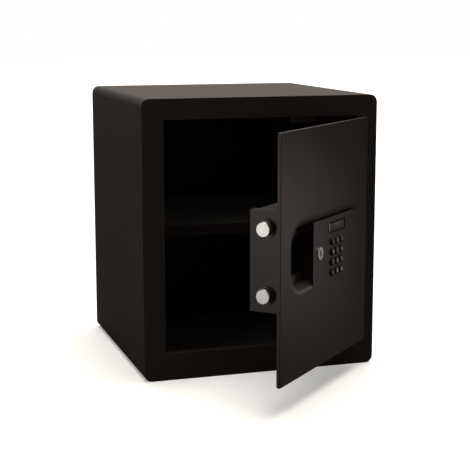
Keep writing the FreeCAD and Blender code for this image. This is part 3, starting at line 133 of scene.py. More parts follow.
world = bpy.data.worlds.new("studio_room")
world.use_nodes = True
tree = world.node_tree
tree.nodes.clear()
toward = add_node(tree, "ShaderNodeSeparateXYZ", {
    "Vector": add_node(tree, "ShaderNodeTexCoord").outputs["Generated"],
})
behind = add_node(tree, "ShaderNodeMapRange", {
    "Value": toward.outputs["Y"], "From Min": -0.4, "From Max": 0.9, "To Min": 0.17, "To Max": 0.5,
}, interpolation_type="SMOOTHSTEP").outputs["Result"]
left_flag = add_node(tree, "ShaderNodeMapRange", {
    "Value": toward.outputs["X"], "From Min": -0.5, "From Max": 0.15, "To Min": 0.25, "To Max": 1.0,
}, interpolation_type="SMOOTHSTEP").outputs["Result"]
right_flag = add_node(tree, "ShaderNodeMapRange", {
    "Value": toward.outputs["X"], "From Min": 0.5, "From Max": 0.95, "To Min": 1.0, "To Max": 0.2,
}, interpolation_type="SMOOTHSTEP").outputs["Result"]
flagged = add_node(
    tree, "ShaderNodeMath", {0: behind, 1: left_flag}, operation="MULTIPLY"
).outputs[0]
flagged = add_node(
    tree, "ShaderNodeMath", {0: flagged, 1: right_flag}, operation="MULTIPLY"
).outputs[0]
seen = add_node(tree, "ShaderNodeLightPath").outputs["Is Camera Ray"]
strength = add_node(tree, "ShaderNodeMix", {
    "Factor": seen, "A": flagged, "B": 1.0,
}, data_type="FLOAT").outputs["Result"]
wall = add_node(tree, "ShaderNodeMix", {
    "Factor": seen, "A": linear("#fff7ef"), "B": linear("#ffffff"),
}, data_type="RGBA").outputs["Result"]
room = add_node(tree, "ShaderNodeBackground", {"Color": wall, "Strength": strength})
add_node(tree, "ShaderNodeOutputWorld", {"Surface": room.outputs[0]})
scene.world = world


def add_lamp(name, kind, place, toward_point, energy, **settings):
    """Adds a lamp at a place, turned toward a point."""
    lamp = bpy.data.objects.new(name, bpy.data.lights.new(name, kind))
    lamp.data.energy = energy
    for setting, value in settings.items():
        setattr(lamp.data, setting, value)
    lamp.location = place
    lamp.rotation_euler = (
        (Vector(toward_point) - Vector(place)).to_track_quat("-Z", "Y").to_euler()
    )
    scene.collection.objects.link(lamp)


add_lamp(
    "high_lamp", "SUN", (0.3, 0.4, 3.0), (0, 0, 0), 3.4,
    angle=math.radians(50), color=linear("#fff7ef")[:3],
)
add_lamp(
    "right_soft_box", "AREA", (0.76, -0.15, 0.15), (-0.079, -0.69, -0.05), 0.135,
    shape="RECTANGLE", size=0.18, size_y=0.28, spread=math.radians(62),
    color=linear("#fff2f0")[:3],
)
add_lamp(
    "left_soft_box", "AREA", (-0.65, -0.57, 0.19), (-0.13, -0.42, 0.17), 0.8,
    shape="RECTANGLE", size=0.36, size_y=0.37,
)


# --- Steel body --------------------------------------------------------------------------------
# A 3 mm sheet folded round the top, sides and floor, with a welded back and a front frame. All of
# it is steel under a fine-grained black polyester powder coat, baked on after welding.
GRAIN = 1.6 * MM  # the real grain is about 0.3 mm, too fine to show, so it is drawn coarser
MOTTLE = 70 * MM
EDGE_ROUNDING = 0.7 * MM
GRAIN_DEPTH = 0.12 * MM


def powder_coat():
    """Textured powder coat: near black, a broad dull sheen, and paler on folded edges as a painted edge
    highlight.
    """
    material, tree = new_finish("textured_powder_coat")
    place = add_node(tree, "ShaderNodeTexCoord").outputs["Object"]
    grain = add_node(tree, "ShaderNodeTexNoise", {
        "Vector": place, "Scale": 1 / GRAIN, "Detail": 3.0, "Roughness": 0.6,
    }).outputs["Fac"]
    mottle = add_node(tree, "ShaderNodeTexNoise", {
        "Vector": place, "Scale": 1 / MOTTLE, "Detail": 4.0,
    }).outputs["Fac"]
    rounded = add_node(
        tree, "ShaderNodeBevel", {"Radius": EDGE_ROUNDING}, samples=4
    ).outputs["Normal"]
    flat = add_node(tree, "ShaderNodeNewGeometry").outputs["True Normal"]
    facing = add_node(
        tree, "ShaderNodeVectorMath", {0: rounded, 1: flat}, operation="DOT_PRODUCT"
    ).outputs["Value"]
    edge = add_node(tree, "ShaderNodeMapRange", {
        "Value": facing, "From Min": 0.98, "From Max": 0.80, "To Min": 0.0, "To Max": 1.0,
    }).outputs["Result"]
    field = add_node(tree, "ShaderNodeMix", {
        "Factor": mottle, "A": linear("#1e1715"), "B": linear("#221b18"),
    }, data_type="RGBA").outputs["Result"]
    speckle = add_node(tree, "ShaderNodeMapRange", {
        "Value": grain, "From Min": 0.35, "From Max": 0.7, "To Min": 0.0, "To Max": 0.35,
    }).outputs["Result"]
    field = add_node(tree, "ShaderNodeMix", {
        "Factor": speckle, "A": field, "B": linear("#332a27"),
    }, data_type="RGBA").outputs["Result"]
    # Folded edges are mixed to a paler colour: a painted edge highlight.
    colour = add_node(tree, "ShaderNodeMix", {
        "Factor": edge, "A": field, "B": linear("#423a36"),
    }, data_type="RGBA").outputs["Result"]
    rough = add_node(tree, "ShaderNodeMapRange", {
        "Value": mottle, "From Min": 0.3, "From Max": 0.7, "To Min": 0.445, "To Max": 0.475,
    }).outputs["Result"]
    bump = add_node(tree, "ShaderNodeBump", {
        "Height": grain, "Strength": 0.35, "Distance": GRAIN_DEPTH, "Normal": rounded,
    }).outputs["Normal"]
    coat = add_node(tree, "ShaderNodeBsdfPrincipled", {
        "Base Color": colour, "Roughness": rough, "IOR": 1.5,
        "Specular Tint": (1.0, 0.9, 0.86, 1.0), "Normal": bump,
    })
    add_node(tree, "ShaderNodeOutputMaterial", {"Surface": coat.outputs[0]})
    return material


def dress(material, *nodes):
    """Gives CAD nodes their finish."""
    for node in nodes:
        mesh = frame["nodes"][node].data
        mesh.materials.clear()
        mesh.materials.append(material)


steel_coat = powder_coat()
dress(
    steel_coat, "body_wrap", "front_frame", "back_panel", "strike_jamb", "door_stops",
    "hinge_ears", "shelf", "left_shelf_bracket", "right_shelf_bracket",
)


# --- Hole plugs --------------------------------------------------------------------------------
# Four moulded rubber plugs close the anchor holes in the back and the floor until the safe is bolted
# down. Each is a flat button with a rounded rim and a short stem, pushed in from inside.
PLUG_STEM_RADIUS = 5.9 * MM
PLUG_HEAD_RADIUS = 8.5 * MM
PLUG_HEAD = 1.6 * MM
PLUG_STEM = 2.8 * MM
ANCHOR_REACH = 90 * MM  # from the middle of the safe to each hole
WALL_ANCHOR_DROP = 100 * MM
BLOOM = 6 * MM
BLOOM_DEPTH = 0.1 * MM


def moulded_rubber():
    """Matt black rubber with a faint bloom."""
    material, tree = new_finish("matt_black_rubber")
    place = add_node(tree, "ShaderNodeTexCoord").outputs["Object"]
    bloom = add_node(tree, "ShaderNodeTexNoise", {
        "Vector": place, "Scale": 1 / BLOOM, "Detail": 3.0,
    }).outputs["Fac"]
    colour = add_node(tree, "ShaderNodeMix", {
        "Factor": bloom, "A": linear("#141211"), "B": linear("#1f1d1c"),
    }, data_type="RGBA").outputs["Result"]
    bump = add_node(tree, "ShaderNodeBump", {
        "Height": bloom, "Strength": 0.1, "Distance": BLOOM_DEPTH,
    }).outputs["Normal"]
    rubber = add_node(tree, "ShaderNodeBsdfPrincipled", {
        "Base Color": colour, "Roughness": 0.75, "IOR": 1.5, "Normal": bump,
    })
    add_node(tree, "ShaderNodeOutputMaterial", {"Surface": rubber.outputs[0]})
    return material


def turned(shape, profile, centre, along, steps=48):
    """Adds a turned solid to a bmesh, with both ends closed. Each ring of the profile is a radius
    and a distance along the axis, and a number of corners if it isn't round."""
    along = along.normalized()
    side = along.orthogonal().normalized()
    other = along.cross(side)
    rings = []
    for radius, distance, *corners in profile:
        ring = []
        for step in range(steps):
            angle = 2 * math.pi * step / steps
            reach = radius
            if corners:
                share = 2 * math.pi / corners[0]
                reach = radius * math.cos(share / 2) / math.cos(angle % share - share / 2)
            ring.append(shape.verts.new(
                centre + along * distance
                + (side * math.cos(angle) + other * math.sin(angle)) * reach
            ))
        rings.append(ring)
    for near, far in zip(rings, rings[1:]):
        for step in range(steps):
            after = (step + 1) % steps
            shape.faces.new((near[step], near[after], far[after], far[step]))
    shape.faces.new(rings[0][::-1])
    shape.faces.new(rings[-1])


def finish_piece(name, shape, material, body, replaced=(), turn=None, sharp=40):
    """Makes a bmesh into a piece: smooth but for its sharp edges, with its finish and its body."""
    if turn is not None:
        bmesh.ops.transform(shape, matrix=turn, verts=shape.verts)
    bmesh.ops.recalc_face_normals(shape, faces=shape.faces)
    mesh = bpy.data.meshes.new(name)
    shape.to_mesh(mesh)
    shape.free()
    mesh.polygons.foreach_set("use_smooth", [True] * len(mesh.polygons))
    mesh.set_sharp_from_angle(angle=math.radians(sharp))
    mesh.materials.append(material)
    piece = bpy.data.objects.new(name, mesh)
    scene.collection.objects.link(piece)
    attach(piece, body)
    if replaced:
        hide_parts(*replaced)
    return piece


back_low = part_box("back_panel")[0]
body_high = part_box("body_wrap")[1]
floor_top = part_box("floor_mat")[0].z
shape = bmesh.new()
for x in (-ANCHOR_REACH, ANCHOR_REACH):
    for seat, outward in (
        (Vector((x, back_low.y, body_high.z - WALL_ANCHOR_DROP)), Vector((0, 1, 0))),
        (Vector((x, 0, floor_top)), Vector((0, 0, -1))),
    ):
        turned(shape, [
            (0.3 * PLUG_HEAD_RADIUS, -PLUG_HEAD), (0.86 * PLUG_HEAD_RADIUS, -PLUG_HEAD),
            (0.96 * PLUG_HEAD_RADIUS, -0.8 * PLUG_HEAD), (PLUG_HEAD_RADIUS, -0.45 * PLUG_HEAD),
            (PLUG_HEAD_RADIUS, 0), (PLUG_STEM_RADIUS, 0), (PLUG_STEM_RADIUS, 0.8 * PLUG_STEM),
            (0.9 * PLUG_STEM_RADIUS, PLUG_STEM),
        ], seat, outward)
finish_piece("anchor_hole_plugs", shape, moulded_rubber(), "body")


# --- Felt mats ---------------------------------------------------------------------------------
# Two pieces of 2.5 mm needle felt, cut a little small and laid loose on the shelf and the floor.
# The floor mat has two punched holes over the anchor bolts. Felt is matt, hairy and never flat.
FELT_CELL = 4 * MM
FELT_WAVE = 0.25 * MM
FELT_HOLE_RADIUS = 12 * MM
FELT_FIBRE = 2.2 * MM
FELT_PATCH = 28 * MM
PILE_DEPTH = 0.6 * MM
PILE_PRESSED = 0.3 * MM
PILE_EDGE = 0.5 * MM
EDGE_FRAY = 0.4 * MM
FRAY_SCALE = 90  # noise cells in a metre
WAVE_SCALE = 35


def felt():
    """Dark needle felt: no gloss, a pale haze of fibres, and a pressed, uneven pile."""
    material, tree = new_finish("needle_felt")
    place = add_node(tree, "ShaderNodeTexCoord").outputs["Object"]
    fibre = add_node(tree, "ShaderNodeTexNoise", {
        "Vector": place, "Scale": 1 / FELT_FIBRE, "Detail": 5.0, "Roughness": 0.7,
        "Distortion": 1.2,
    }).outputs["Fac"]
    patch = add_node(tree, "ShaderNodeTexNoise", {
        "Vector": place, "Scale": 1 / FELT_PATCH, "Detail": 3.0,
    }).outputs["Fac"]
    contrast = add_node(tree, "ShaderNodeMapRange", {
        "Value": fibre, "From Min": 0.35, "From Max": 0.65,
    }).outputs["Result"]
    hair = add_node(tree, "ShaderNodeMix", {
        "Factor": contrast, "A": linear("#262722"), "B": linear("#6a6c5e"),
    }, data_type="RGBA").outputs["Result"]
    colour = add_node(tree, "ShaderNodeMix", {
        "Factor": patch, "A": hair, "B": linear("#3b3c34"),
    }, data_type="RGBA").outputs["Result"]
    bump = add_node(tree, "ShaderNodeBump", {
        "Height": fibre, "Strength": 0.8, "Distance": PILE_DEPTH,
    }).outputs["Normal"]
    cloth = add_node(tree, "ShaderNodeBsdfPrincipled", {
        "Base Color": colour, "Roughness": 0.95, "Specular IOR Level": 0.1,
        "Sheen Weight": 0.25, "Sheen Roughness": 0.6, "Normal": bump,
    })
    add_node(tree, "ShaderNodeOutputMaterial", {"Surface": cloth.outputs[0]})
    return material


def felt_mat(name, node, holes):
    """A felt mat in the place of its CAD slab: wavy pile, ragged cut edge, punched holes."""
    low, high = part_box(node)
    width, length = (high - low).xy
    across = round(width / FELT_CELL)
    along = round(length / FELT_CELL)
    shape = bmesh.new()
    rows = []
    for j in range(along + 1):
        rows.append([
            shape.verts.new((low.x + width * i / across, low.y + length * j / along, high.z))
            for i in range(across + 1)
        ])
    for j in range(along):
        for i in range(across):
            shape.faces.new((rows[j][i], rows[j][i + 1], rows[j + 1][i + 1], rows[j + 1][i]))
    for hole in holes:
        inside = [v for v in shape.verts if (v.co.xy - hole.xy).length < FELT_HOLE_RADIUS]
        bmesh.ops.delete(shape, geom=inside, context="VERTS")
        for vert in shape.verts:
            spoke = vert.co.xy - hole.xy
            if vert.is_boundary and spoke.length < FELT_HOLE_RADIUS + 2 * FELT_CELL:
                vert.co.xy = hole.xy + spoke.normalized() * FELT_HOLE_RADIUS
    for vert in [v for v in shape.verts if v.is_boundary]:
        vert.co.xy += noise.noise_vector(vert.co * FRAY_SCALE).xy * EDGE_FRAY
    rise = bmesh.ops.extrude_face_region(shape, geom=shape.faces[:])
    under = [v for v in rise["geom"] if isinstance(v, bmesh.types.BMVert)]
    for vert in under:
        vert.co.z = low.z
    lifted = set(under)
    for vert in shape.verts:
        if vert not in lifted:
            vert.co.z -= PILE_PRESSED + FELT_WAVE * (1 + noise.noise(vert.co * WAVE_SCALE))
    rim = [e for e in shape.edges if not e.is_boundary and e.calc_face_angle(0) > 1.0]
    bmesh.ops.bevel(shape, geom=rim, offset=PILE_EDGE, segments=2, profile=0.6, affect="EDGES")
    piece = finish_piece(name, shape, needle_felt, "body", (node,), sharp=60)


needle_felt = felt()
felt_mat("shelf_felt", "shelf_mat", ())
felt_mat(
    "floor_felt", "floor_mat",
    [Vector((-ANCHOR_REACH, 0, 0)), Vector((ANCHOR_REACH, 0, 0))],
)


# --- Zinc-plated steel -------------------------------------------------------------------------
# Screws, hinge pins, the lock chassis, its posts, the rack and the motor's can are mild steel with
# bright zinc plating. It is silver with a faint blue and yellow cast and fine drawing marks.
PLATING_CLOUD = 12 * MM
PLATING_MARK_DEPTH = 0.05 * MM


def plated_metal(name, pale, dark, roughness, mark, stretch=(1, 1, 1)):
    """A plated metal: two tones in soft clouds, with fine marks that a stretch draws out."""
    material, tree = new_finish(name)
    place = add_node(tree, "ShaderNodeTexCoord").outputs["Object"]
    drawn = add_node(tree, "ShaderNodeMapping", {"Vector": place, "Scale": stretch})
    marks = add_node(tree, "ShaderNodeTexNoise", {
        "Vector": drawn.outputs[0], "Scale": 1 / mark, "Detail": 3.0,
    }).outputs["Fac"]
    clouds = add_node(tree, "ShaderNodeTexNoise", {
        "Vector": place, "Scale": 1 / PLATING_CLOUD, "Detail": 2.0,
    }).outputs["Fac"]
    colour = add_node(tree, "ShaderNodeMix", {
        "Factor": clouds, "A": linear(pale), "B": linear(dark),
    }, data_type="RGBA").outputs["Result"]
    rough = add_node(tree, "ShaderNodeMapRange", {
        "Value": marks, "From Min": 0.3, "From Max": 0.7,
        "To Min": roughness * 0.8, "To Max": roughness * 1.25,
    }).outputs["Result"]
    bump = add_node(tree, "ShaderNodeBump", {
        "Height": marks, "Strength": 0.2, "Distance": PLATING_MARK_DEPTH,
    }).outputs["Normal"]
    metal = add_node(tree, "ShaderNodeBsdfPrincipled", {
        "Base Color": colour, "Metallic": 1.0, "Roughness": rough, "Normal": bump,
    })
    add_node(tree, "ShaderNodeOutputMaterial", {"Surface": metal.outputs[0]})
    return material


zinc = plated_metal("bright_zinc_plate", "#c9ccd0", "#b3b2a8", 0.3, 1.2 * MM, (1, 1, 0.1))
dress(
    zinc, "hinge_pins", "shelf_screws", "lock_chassis", "chassis_posts", "motor",
    "bolt_carriage", "drive_rack", "carriage_screws", "plug_cam",
)


# --- Door --------------------------------------------------------------------------------------
# A 5 mm steel plate, powder coated like the body, on two gooseneck arms. The lock's bracket and
# its cover are folded sheet in the same coat. Door pieces are made shut and then swung open.
hinge = next(joint for joint in frame["joints"] if joint["name"] == "door_hinge")
pivot = Matrix.Translation(Vector(hinge["pos_m"]))
OPEN_ANGLE = -math.radians(hinge["range_deg"][0])
door_turn = pivot @ Matrix.Rotation(OPEN_ANGLE, 4, "Z") @ pivot.inverted()
shut_turn = door_turn.inverted()
dress(
    steel_coat, "door_plate", "upper_hinge_arm", "lower_hinge_arm", "lock_bracket", "lock_cover",
)


SAME_PLACE = 0.001 * MM  # corners nearer than this are one corner


def solid_boxes(node, turn=shut_turn):
    """Lowest and highest corners of each separate solid of a node, after a turn."""
    mesh = frame["nodes"][node].data
    places = [turn @ v.co for v in mesh.vertices]
    keys = [tuple(round(c / SAME_PLACE) for c in p) for p in places]
    first = {}
    group = [first.setdefault(key, index) for index, key in enumerate(keys)]

    def root(index):
        while group[index] != index:
            group[index] = group[group[index]]
            index = group[index]
        return index

    for edge in mesh.edges:
        a, b = (root(i) for i in edge.vertices)
        group[max(a, b)] = min(a, b)
    found = {}
    for index, place in enumerate(places):
        found.setdefault(root(index), []).append(place)
    boxes = []
    for members in found.values():
        low = Vector(min(p[axis] for p in members) for axis in range(3))
        high = Vector(max(p[axis] for p in members) for axis in range(3))
        boxes.append((low, high))
    return sorted(boxes, key=lambda pair: tuple(pair[0]))


# --- Screws ------------------------------------------------------------------------------------
# Button-head machine screws with hexagon sockets hold the hinge arms, the bracket, the cover, the
# keypad's ears and the chassis. The heads are cold formed, so they are domed and smooth.
HEAD_RISE = 0.6  # shares of the head's radius
SHANK_RADIUS = 0.55
SOCKET_RADIUS = 0.5


def button_head_screws(name, node):
    """Every screw of a node, with its head at the back and a hexagon socket in it."""
    shape = bmesh.new()
    for low, high in solid_boxes(node):
        head = (high.x - low.x) / 2
        centre = (low + high) / 2
        centre.y = high.y
        rise = head * HEAD_RISE
        shank = head * SHANK_RADIUS
        socket = head * SOCKET_RADIUS
        turned(shape, [
            (shank, low.y - high.y), (shank, -rise), (head, -rise), (head, -0.75 * rise),
            (0.93 * head, -0.4 * rise), (0.78 * head, -0.15 * rise), (0.55 * head, 0),
            (socket, 0, 6), (socket, -0.55 * rise, 6),
        ], centre, Vector((0, 1, 0)))
    finish_piece(name, shape, zinc, "door", (node,), door_turn, sharp=35)


button_head_screws("hinge_arm_screws", "hinge_screws")
button_head_screws("lock_case_screws", "lock_screws")


# --- Keypad housing and fascia -----------------------------------------------------------------
# Two mouldings in black ABS with a fine spark-eroded skin: the housing with its scoop and finger
# pocket, and the flush fascia. Pressed, matt and a touch smoother than the coat round it.
MOULD_FLOW = 40 * MM
MOULD_EDGE = 0.4 * MM
SKIN_DEPTH = 0.05 * MM


def moulded_plastic(name, base, high, roughness, grain):
    """Moulded ABS or nylon: an even colour with a fine skin that softens its shine."""
    material, tree = new_finish(name)
    place = add_node(tree, "ShaderNodeTexCoord").outputs["Object"]
    skin = add_node(tree, "ShaderNodeTexNoise", {
        "Vector": place, "Scale": 1 / grain, "Detail": 2.0,
    }).outputs["Fac"]
    flow = add_node(tree, "ShaderNodeTexNoise", {
        "Vector": place, "Scale": 1 / MOULD_FLOW, "Detail": 2.0,
    }).outputs["Fac"]
    colour = add_node(tree, "ShaderNodeMix", {
        "Factor": flow, "A": linear(base), "B": linear(high),
    }, data_type="RGBA").outputs["Result"]
    rough = add_node(tree, "ShaderNodeMapRange", {
        "Value": skin, "From Min": 0.3, "From Max": 0.7,
        "To Min": roughness * 0.92, "To Max": roughness * 1.08,
    }).outputs["Result"]
    rounded = add_node(
        tree, "ShaderNodeBevel", {"Radius": MOULD_EDGE}, samples=4
    ).outputs["Normal"]
    bump = add_node(tree, "ShaderNodeBump", {
        "Height": skin, "Strength": 0.15, "Distance": SKIN_DEPTH, "Normal": rounded,
    }).outputs["Normal"]
    plastic = add_node(tree, "ShaderNodeBsdfPrincipled", {
        "Base Color": colour, "Roughness": rough, "IOR": 1.53,
        "Specular Tint": (1.0, 0.9, 0.87, 1.0), "Normal": bump,
    })
    add_node(tree, "ShaderNodeOutputMaterial", {"Surface": plastic.outputs[0]})
    return material


black_abs = moulded_plastic("spark_moulded_abs", "#191412", "#211a18", 0.45, 1.2 * MM)
dress(black_abs, "module_housing", "control_fascia", "gearbox", "battery_box", "reset_switch")


# --- Keys --------------------------------------------------------------------------------------
# Twelve silicone keys with dished tops that stand out of the fascia. Each has its figure printed
# in pale grey, and the mat under them is the same silicone.
FIGURE_HEIGHT = 5.2 * MM
FONT_SIZE = FIGURE_HEIGHT * 1.42  # the built-in font's size, for figures of that height
STROKE_GAIN = 0.13 * MM
PRINT_PROUD = 0.06 * MM
DISH = 0.25 * MM
KEY_FLANGE_RIM = 0.9 * MM
KEY_FLANGE = 1.0 * MM
WELD_DISTANCE = 0.001 * MM

silicone = moulded_plastic("black_silicone", "#121212", "#181817", 0.6, 1.5 * MM)
key_print = moulded_plastic("pale_key_print", "#e6e6e4", "#f0f0ee", 0.5, 1.0 * MM)
dress(silicone, "key_mat", "door_buffers")


def key_cap(node, figure):
    """One key: a round cap with a soft edge and a dished top, and the figure printed on it."""
    low, high = solid_boxes(node)[0]
    flange = (high.x - low.x) / 2
    cap = flange - KEY_FLANGE_RIM
    centre = (low + high) / 2
    centre.y = low.y
    depth = high.y - low.y
    shape = bmesh.new()
    turned(shape, [
        (flange, depth), (flange, depth - KEY_FLANGE), (cap, depth - KEY_FLANGE), (cap, 0.7 * MM),
        (cap - 0.08 * MM, 0.4 * MM), (cap - 0.25 * MM, 0.16 * MM), (cap - 0.5 * MM, 0.03 * MM),
        (cap - 0.8 * MM, 0.0), (0.75 * cap, 0.06 * MM), (0.5 * cap, 0.6 * DISH),
        (0.25 * cap, 0.9 * DISH),
    ], centre, Vector((0, 1, 0)), steps=40)
    finish_piece(node + "_cap", shape, silicone, node, (node,), door_turn)

    text = bpy.data.curves.new(node + "_figure", "FONT")
    text.body = figure
    text.align_x = "CENTER"
    text.align_y = "CENTER"
    text.size = FONT_SIZE
    text.extrude = DISH / 2 + PRINT_PROUD
    text.offset = STROKE_GAIN
    draft = bpy.data.objects.new(node + "_figure_draft", text)
    scene.collection.objects.link(draft)
    bpy.context.view_layer.update()
    outline = bpy.data.meshes.new_from_object(
        draft.evaluated_get(bpy.context.evaluated_depsgraph_get())
    )
    bpy.data.objects.remove(draft)
    shape = bmesh.new()
    shape.from_mesh(outline)
    bpy.data.meshes.remove(outline)
    bmesh.ops.remove_doubles(shape, verts=shape.verts, dist=WELD_DISTANCE)
    lows = Vector(min(v.co[axis] for v in shape.verts) for axis in range(3))
    highs = Vector(max(v.co[axis] for v in shape.verts) for axis in range(3))
    middle = (lows + highs) / 2
    stand = Matrix.Translation(centre + Vector((0, DISH / 2, 0))) @ Matrix.Rotation(
        math.pi / 2, 4, "X"
    ) @ Matrix.Translation(-middle)
    finish_piece(
        node + "_figure", shape, key_print, node, (), door_turn @ stand, sharp=30
    )


for figure in "123456789":
    key_cap("key_" + figure, figure)
key_cap("key_star", "*")
key_cap("key_0", "0")
key_cap("key_hash", "#")


# --- Display -----------------------------------------------------------------------------------
# A reflective liquid crystal panel, grey-green when it is off, bonded behind a tinted acrylic window
# that stands 1 mm out of the fascia. A black border is printed on it, and a pale strip down its left
# edge is a painted highlight.
WINDOW_BEVEL = 0.3 * MM
MASK_SIDE = 3.6 * MM
MASK_WIDTH = 1.5 * MM
MASK_DEEP = 0.9 * MM
HIGHLIGHT_STRIP_WIDTH = 2.2 * MM
HIGHLIGHT_STRIP_OVERHANG = 0.05 * MM
HIGHLIGHT_STRIP_ROUNDING = 0.3 * MM


def rounded_slab(shape, low, high, bevel, segments=2):
    """Adds a block with all its edges rounded."""
    made = bmesh.ops.create_cube(shape, size=1.0)["verts"]
    for vert in made:
        vert.co = Vector(
            low[axis] if vert.co[axis] < 0 else high[axis] for axis in range(3)
        )
    edges = {edge for vert in made for edge in vert.link_edges}
    bmesh.ops.bevel(
        shape, geom=list(edges), offset=bevel, segments=segments, profile=0.5, affect="EDGES"
    )


def display_face():
    """Grey-green liquid crystal behind tinted acrylic: an anti-glare face with faint columns."""
    material, tree = new_finish("tinted_display_acrylic")
    place = add_node(tree, "ShaderNodeTexCoord").outputs["Object"]
    columns = add_node(tree, "ShaderNodeTexWave", {
        "Vector": place, "Scale": 1 / (22 * MM), "Distortion": 0.5,
    }, bands_direction="DIAGONAL").outputs["Fac"]
    cells = add_node(tree, "ShaderNodeTexNoise", {
        "Vector": place, "Scale": 1 / (9 * MM), "Detail": 1.0,
    }).outputs["Fac"]
    pattern = add_node(
        tree, "ShaderNodeMath", {0: columns, 1: cells}, operation="MULTIPLY"
    ).outputs[0]
    colour = add_node(tree, "ShaderNodeMix", {
        "Factor": pattern, "A": linear("#33391f"), "B": linear("#41482b"),
    }, data_type="RGBA").outputs["Result"]
    face = add_node(tree, "ShaderNodeBsdfPrincipled", {
        "Base Color": colour, "Roughness": 0.4, "IOR": 1.49,
    })
    add_node(tree, "ShaderNodeOutputMaterial", {"Surface": face.outputs[0]})
    return material


def screen_ink():
    """Screen-printed ink: dense black and dead matt, with a faint mesh of pinholes."""
    material, tree = new_finish("black_screen_ink")
    place = add_node(tree, "ShaderNodeTexCoord").outputs["Object"]
    pinholes = add_node(tree, "ShaderNodeTexNoise", {
        "Vector": place, "Scale": 1 / (1.0 * MM), "Detail": 2.0,
    }).outputs["Fac"]
    colour = add_node(tree, "ShaderNodeMix", {
        "Factor": pinholes, "A": linear("#070606"), "B": linear("#100f0e"),
    }, data_type="RGBA").outputs["Result"]
    ink = add_node(tree, "ShaderNodeBsdfPrincipled", {
        "Base Color": colour, "Roughness": 0.85, "Specular IOR Level": 0.12,
    })
    add_node(tree, "ShaderNodeOutputMaterial", {"Surface": ink.outputs[0]})
    return material


crystal = display_face()
dress(crystal, "display_panel")
window_low, window_high = solid_boxes("display_lens")[0]
shape = bmesh.new()
rounded_slab(shape, window_low, window_high, WINDOW_BEVEL)
finish_piece(
    "display_window", shape, crystal, "door", ("display_lens",), door_turn
)

face = window_low.y
mask_left = window_low.x + WINDOW_BEVEL
mask_right = window_high.x
mask_low = window_low.z + MASK_WIDTH
mask_high = window_high.z - MASK_WIDTH
shape = bmesh.new()
for left, right, foot, head in (
    (mask_left, mask_right, mask_high, window_high.z),
    (mask_left, mask_right, window_low.z, mask_low),
    (mask_right - MASK_SIDE, mask_right, mask_low, mask_high),
):
    rounded_slab(
        shape, (left, face - PRINT_PROUD, foot), (right, face + MASK_DEEP, head),
        PRINT_PROUD / 2, segments=1,
    )
finish_piece("window_border", shape, screen_ink(), "door", (), door_turn)

# A pale strip down the window's left edge: its pale colour is a painted highlight.
painted_highlight_finish = moulded_plastic("painted_highlight_strip", "#c3c9bd", "#d2d6cc", 0.35, 1.0 * MM)
shape = bmesh.new()
rounded_slab(
    shape, (window_low.x - HIGHLIGHT_STRIP_OVERHANG, face - PRINT_PROUD, window_low.z),
    (window_low.x + HIGHLIGHT_STRIP_WIDTH, face + MASK_DEEP, window_high.z), HIGHLIGHT_STRIP_ROUNDING,
)
finish_piece("window_painted_highlight", shape, painted_highlight_finish, "door", (), door_turn)


# --- Override lock -----------------------------------------------------------------------------
# A pin-tumbler cylinder for opening by hand: a satin nickel body with a turned face, and a duller
# nickel-plated brass plug with a straight keyway.
nickel = plated_metal("satin_nickel_plate", "#cbc8c3", "#bdbab4", 0.34, 0.9 * MM)
dull_nickel = plated_metal("dull_nickel_plate", "#a3a09b", "#918e89", 0.4, 0.9 * MM)
dress(nickel, "cylinder_body")
dress(dull_nickel, "key_plug")


# --- Bolts and bushes --------------------------------------------------------------------------
# Two 20 mm steel bars with nickel plating, faced and chamfered on a lathe. They slide in black acetal
# bushes that are pressed into the bracket.
dress(nickel, "upper_bolt", "lower_bolt")
acetal = moulded_plastic("black_acetal", "#0f0f0f", "#151514", 0.35, 1.2 * MM)
dress(acetal, "bolt_bushes")


# --- Drive -------------------------------------------------------------------------------------
# A brass pinion on the gearbox drives the steel rack, which runs between nylon rollers. The hinge
# washers are nylon too.
brass = plated_metal("turned_brass", "#d9b56a", "#c79f55", 0.3, 0.8 * MM)
natural_nylon = moulded_plastic("natural_nylon", "#cfc8b6", "#d8d2c2", 0.5, 1.5 * MM)
dress(brass, "drive_pinion")
dress(natural_nylon, "rack_guides", "hinge_washers")


# --- Circuit board -----------------------------------------------------------------------------
# A glass-epoxy board with green solder mask, with copper tracks that show through it as paler
# lines about 1 mm apart.
board, tree = new_finish("solder_mask_board")
place = add_node(tree, "ShaderNodeTexCoord").outputs["Object"]
tracks = add_node(tree, "ShaderNodeTexBrick", {
    "Vector": place, "Color1": linear("#11502c"), "Color2": linear("#0d4425"),
    "Mortar": linear("#2a7a45"), "Scale": 1 / (14 * MM), "Mortar Size": 0.03,
}).outputs["Color"]
board_shader = add_node(tree, "ShaderNodeBsdfPrincipled", {
    "Base Color": tracks, "Roughness": 0.35, "IOR": 1.5,
})
add_node(tree, "ShaderNodeOutputMaterial", {"Surface": board_shader.outputs[0]})
dress(board, "keypad_board")
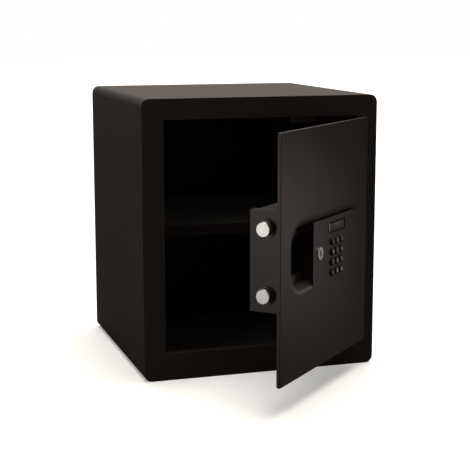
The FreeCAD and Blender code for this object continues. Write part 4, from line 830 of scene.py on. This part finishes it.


# --- Batteries and their lid -------------------------------------------------------------------
# Four AA cells in dark shrink wrap, under a black ABS lid with grip ribs that closes the
# cover's window.
wrap, tree = new_finish("cell_shrink_wrap")
place = add_node(tree, "ShaderNodeTexCoord").outputs["Object"]
scuff = add_node(tree, "ShaderNodeTexNoise", {
    "Vector": place, "Scale": 1 / (10 * MM), "Detail": 3.0,
}).outputs["Fac"]
wrap_colour = add_node(tree, "ShaderNodeMix", {
    "Factor": scuff, "A": linear("#1d1f24"), "B": linear("#2b2d33"),
}, data_type="RGBA").outputs["Result"]
wrap_shader = add_node(tree, "ShaderNodeBsdfPrincipled", {
    "Base Color": wrap_colour, "Roughness": 0.25, "IOR": 1.5,
})
add_node(tree, "ShaderNodeOutputMaterial", {"Surface": wrap_shader.outputs[0]})
dress(wrap, "batteries")

RIB_COUNT = 6
RIB_PITCH = 2.6 * MM
RIB_PROUD = 0.6 * MM
RIB_INSET = 6 * MM
RIB_WIDTH = 1.2 * MM
RIB_ROOT = 0.5 * MM
RIB_HALF_HEIGHT = 12 * MM
RIB_EDGE = 0.3 * MM
LID_EDGE = 0.4 * MM
lid_low, lid_high = solid_boxes("battery_door")[0]
shape = bmesh.new()
lid_middle = (lid_low.z + lid_high.z) / 2
rounded_slab(shape, lid_low, lid_high, LID_EDGE)
for index in range(RIB_COUNT):
    x = lid_low.x + RIB_INSET + index * RIB_PITCH
    rounded_slab(
        shape, (x, lid_high.y - RIB_ROOT, lid_middle - RIB_HALF_HEIGHT),
        (x + RIB_WIDTH, lid_high.y + RIB_PROUD, lid_middle + RIB_HALF_HEIGHT), RIB_EDGE,
    )
finish_piece(
    "battery_lid", shape, black_abs, "door", ("battery_door",), door_turn
)


# --- Code button -------------------------------------------------------------------------------
# The red button beside the batteries that sets a new code. It is injection moulded in a glossy
# plastic and stands 1.5 mm out of the cover.
red_plastic = moulded_plastic("red_moulded_plastic", "#a31a17", "#b4211c", 0.3, 1.5 * MM)
dress(red_plastic, "reset_button")
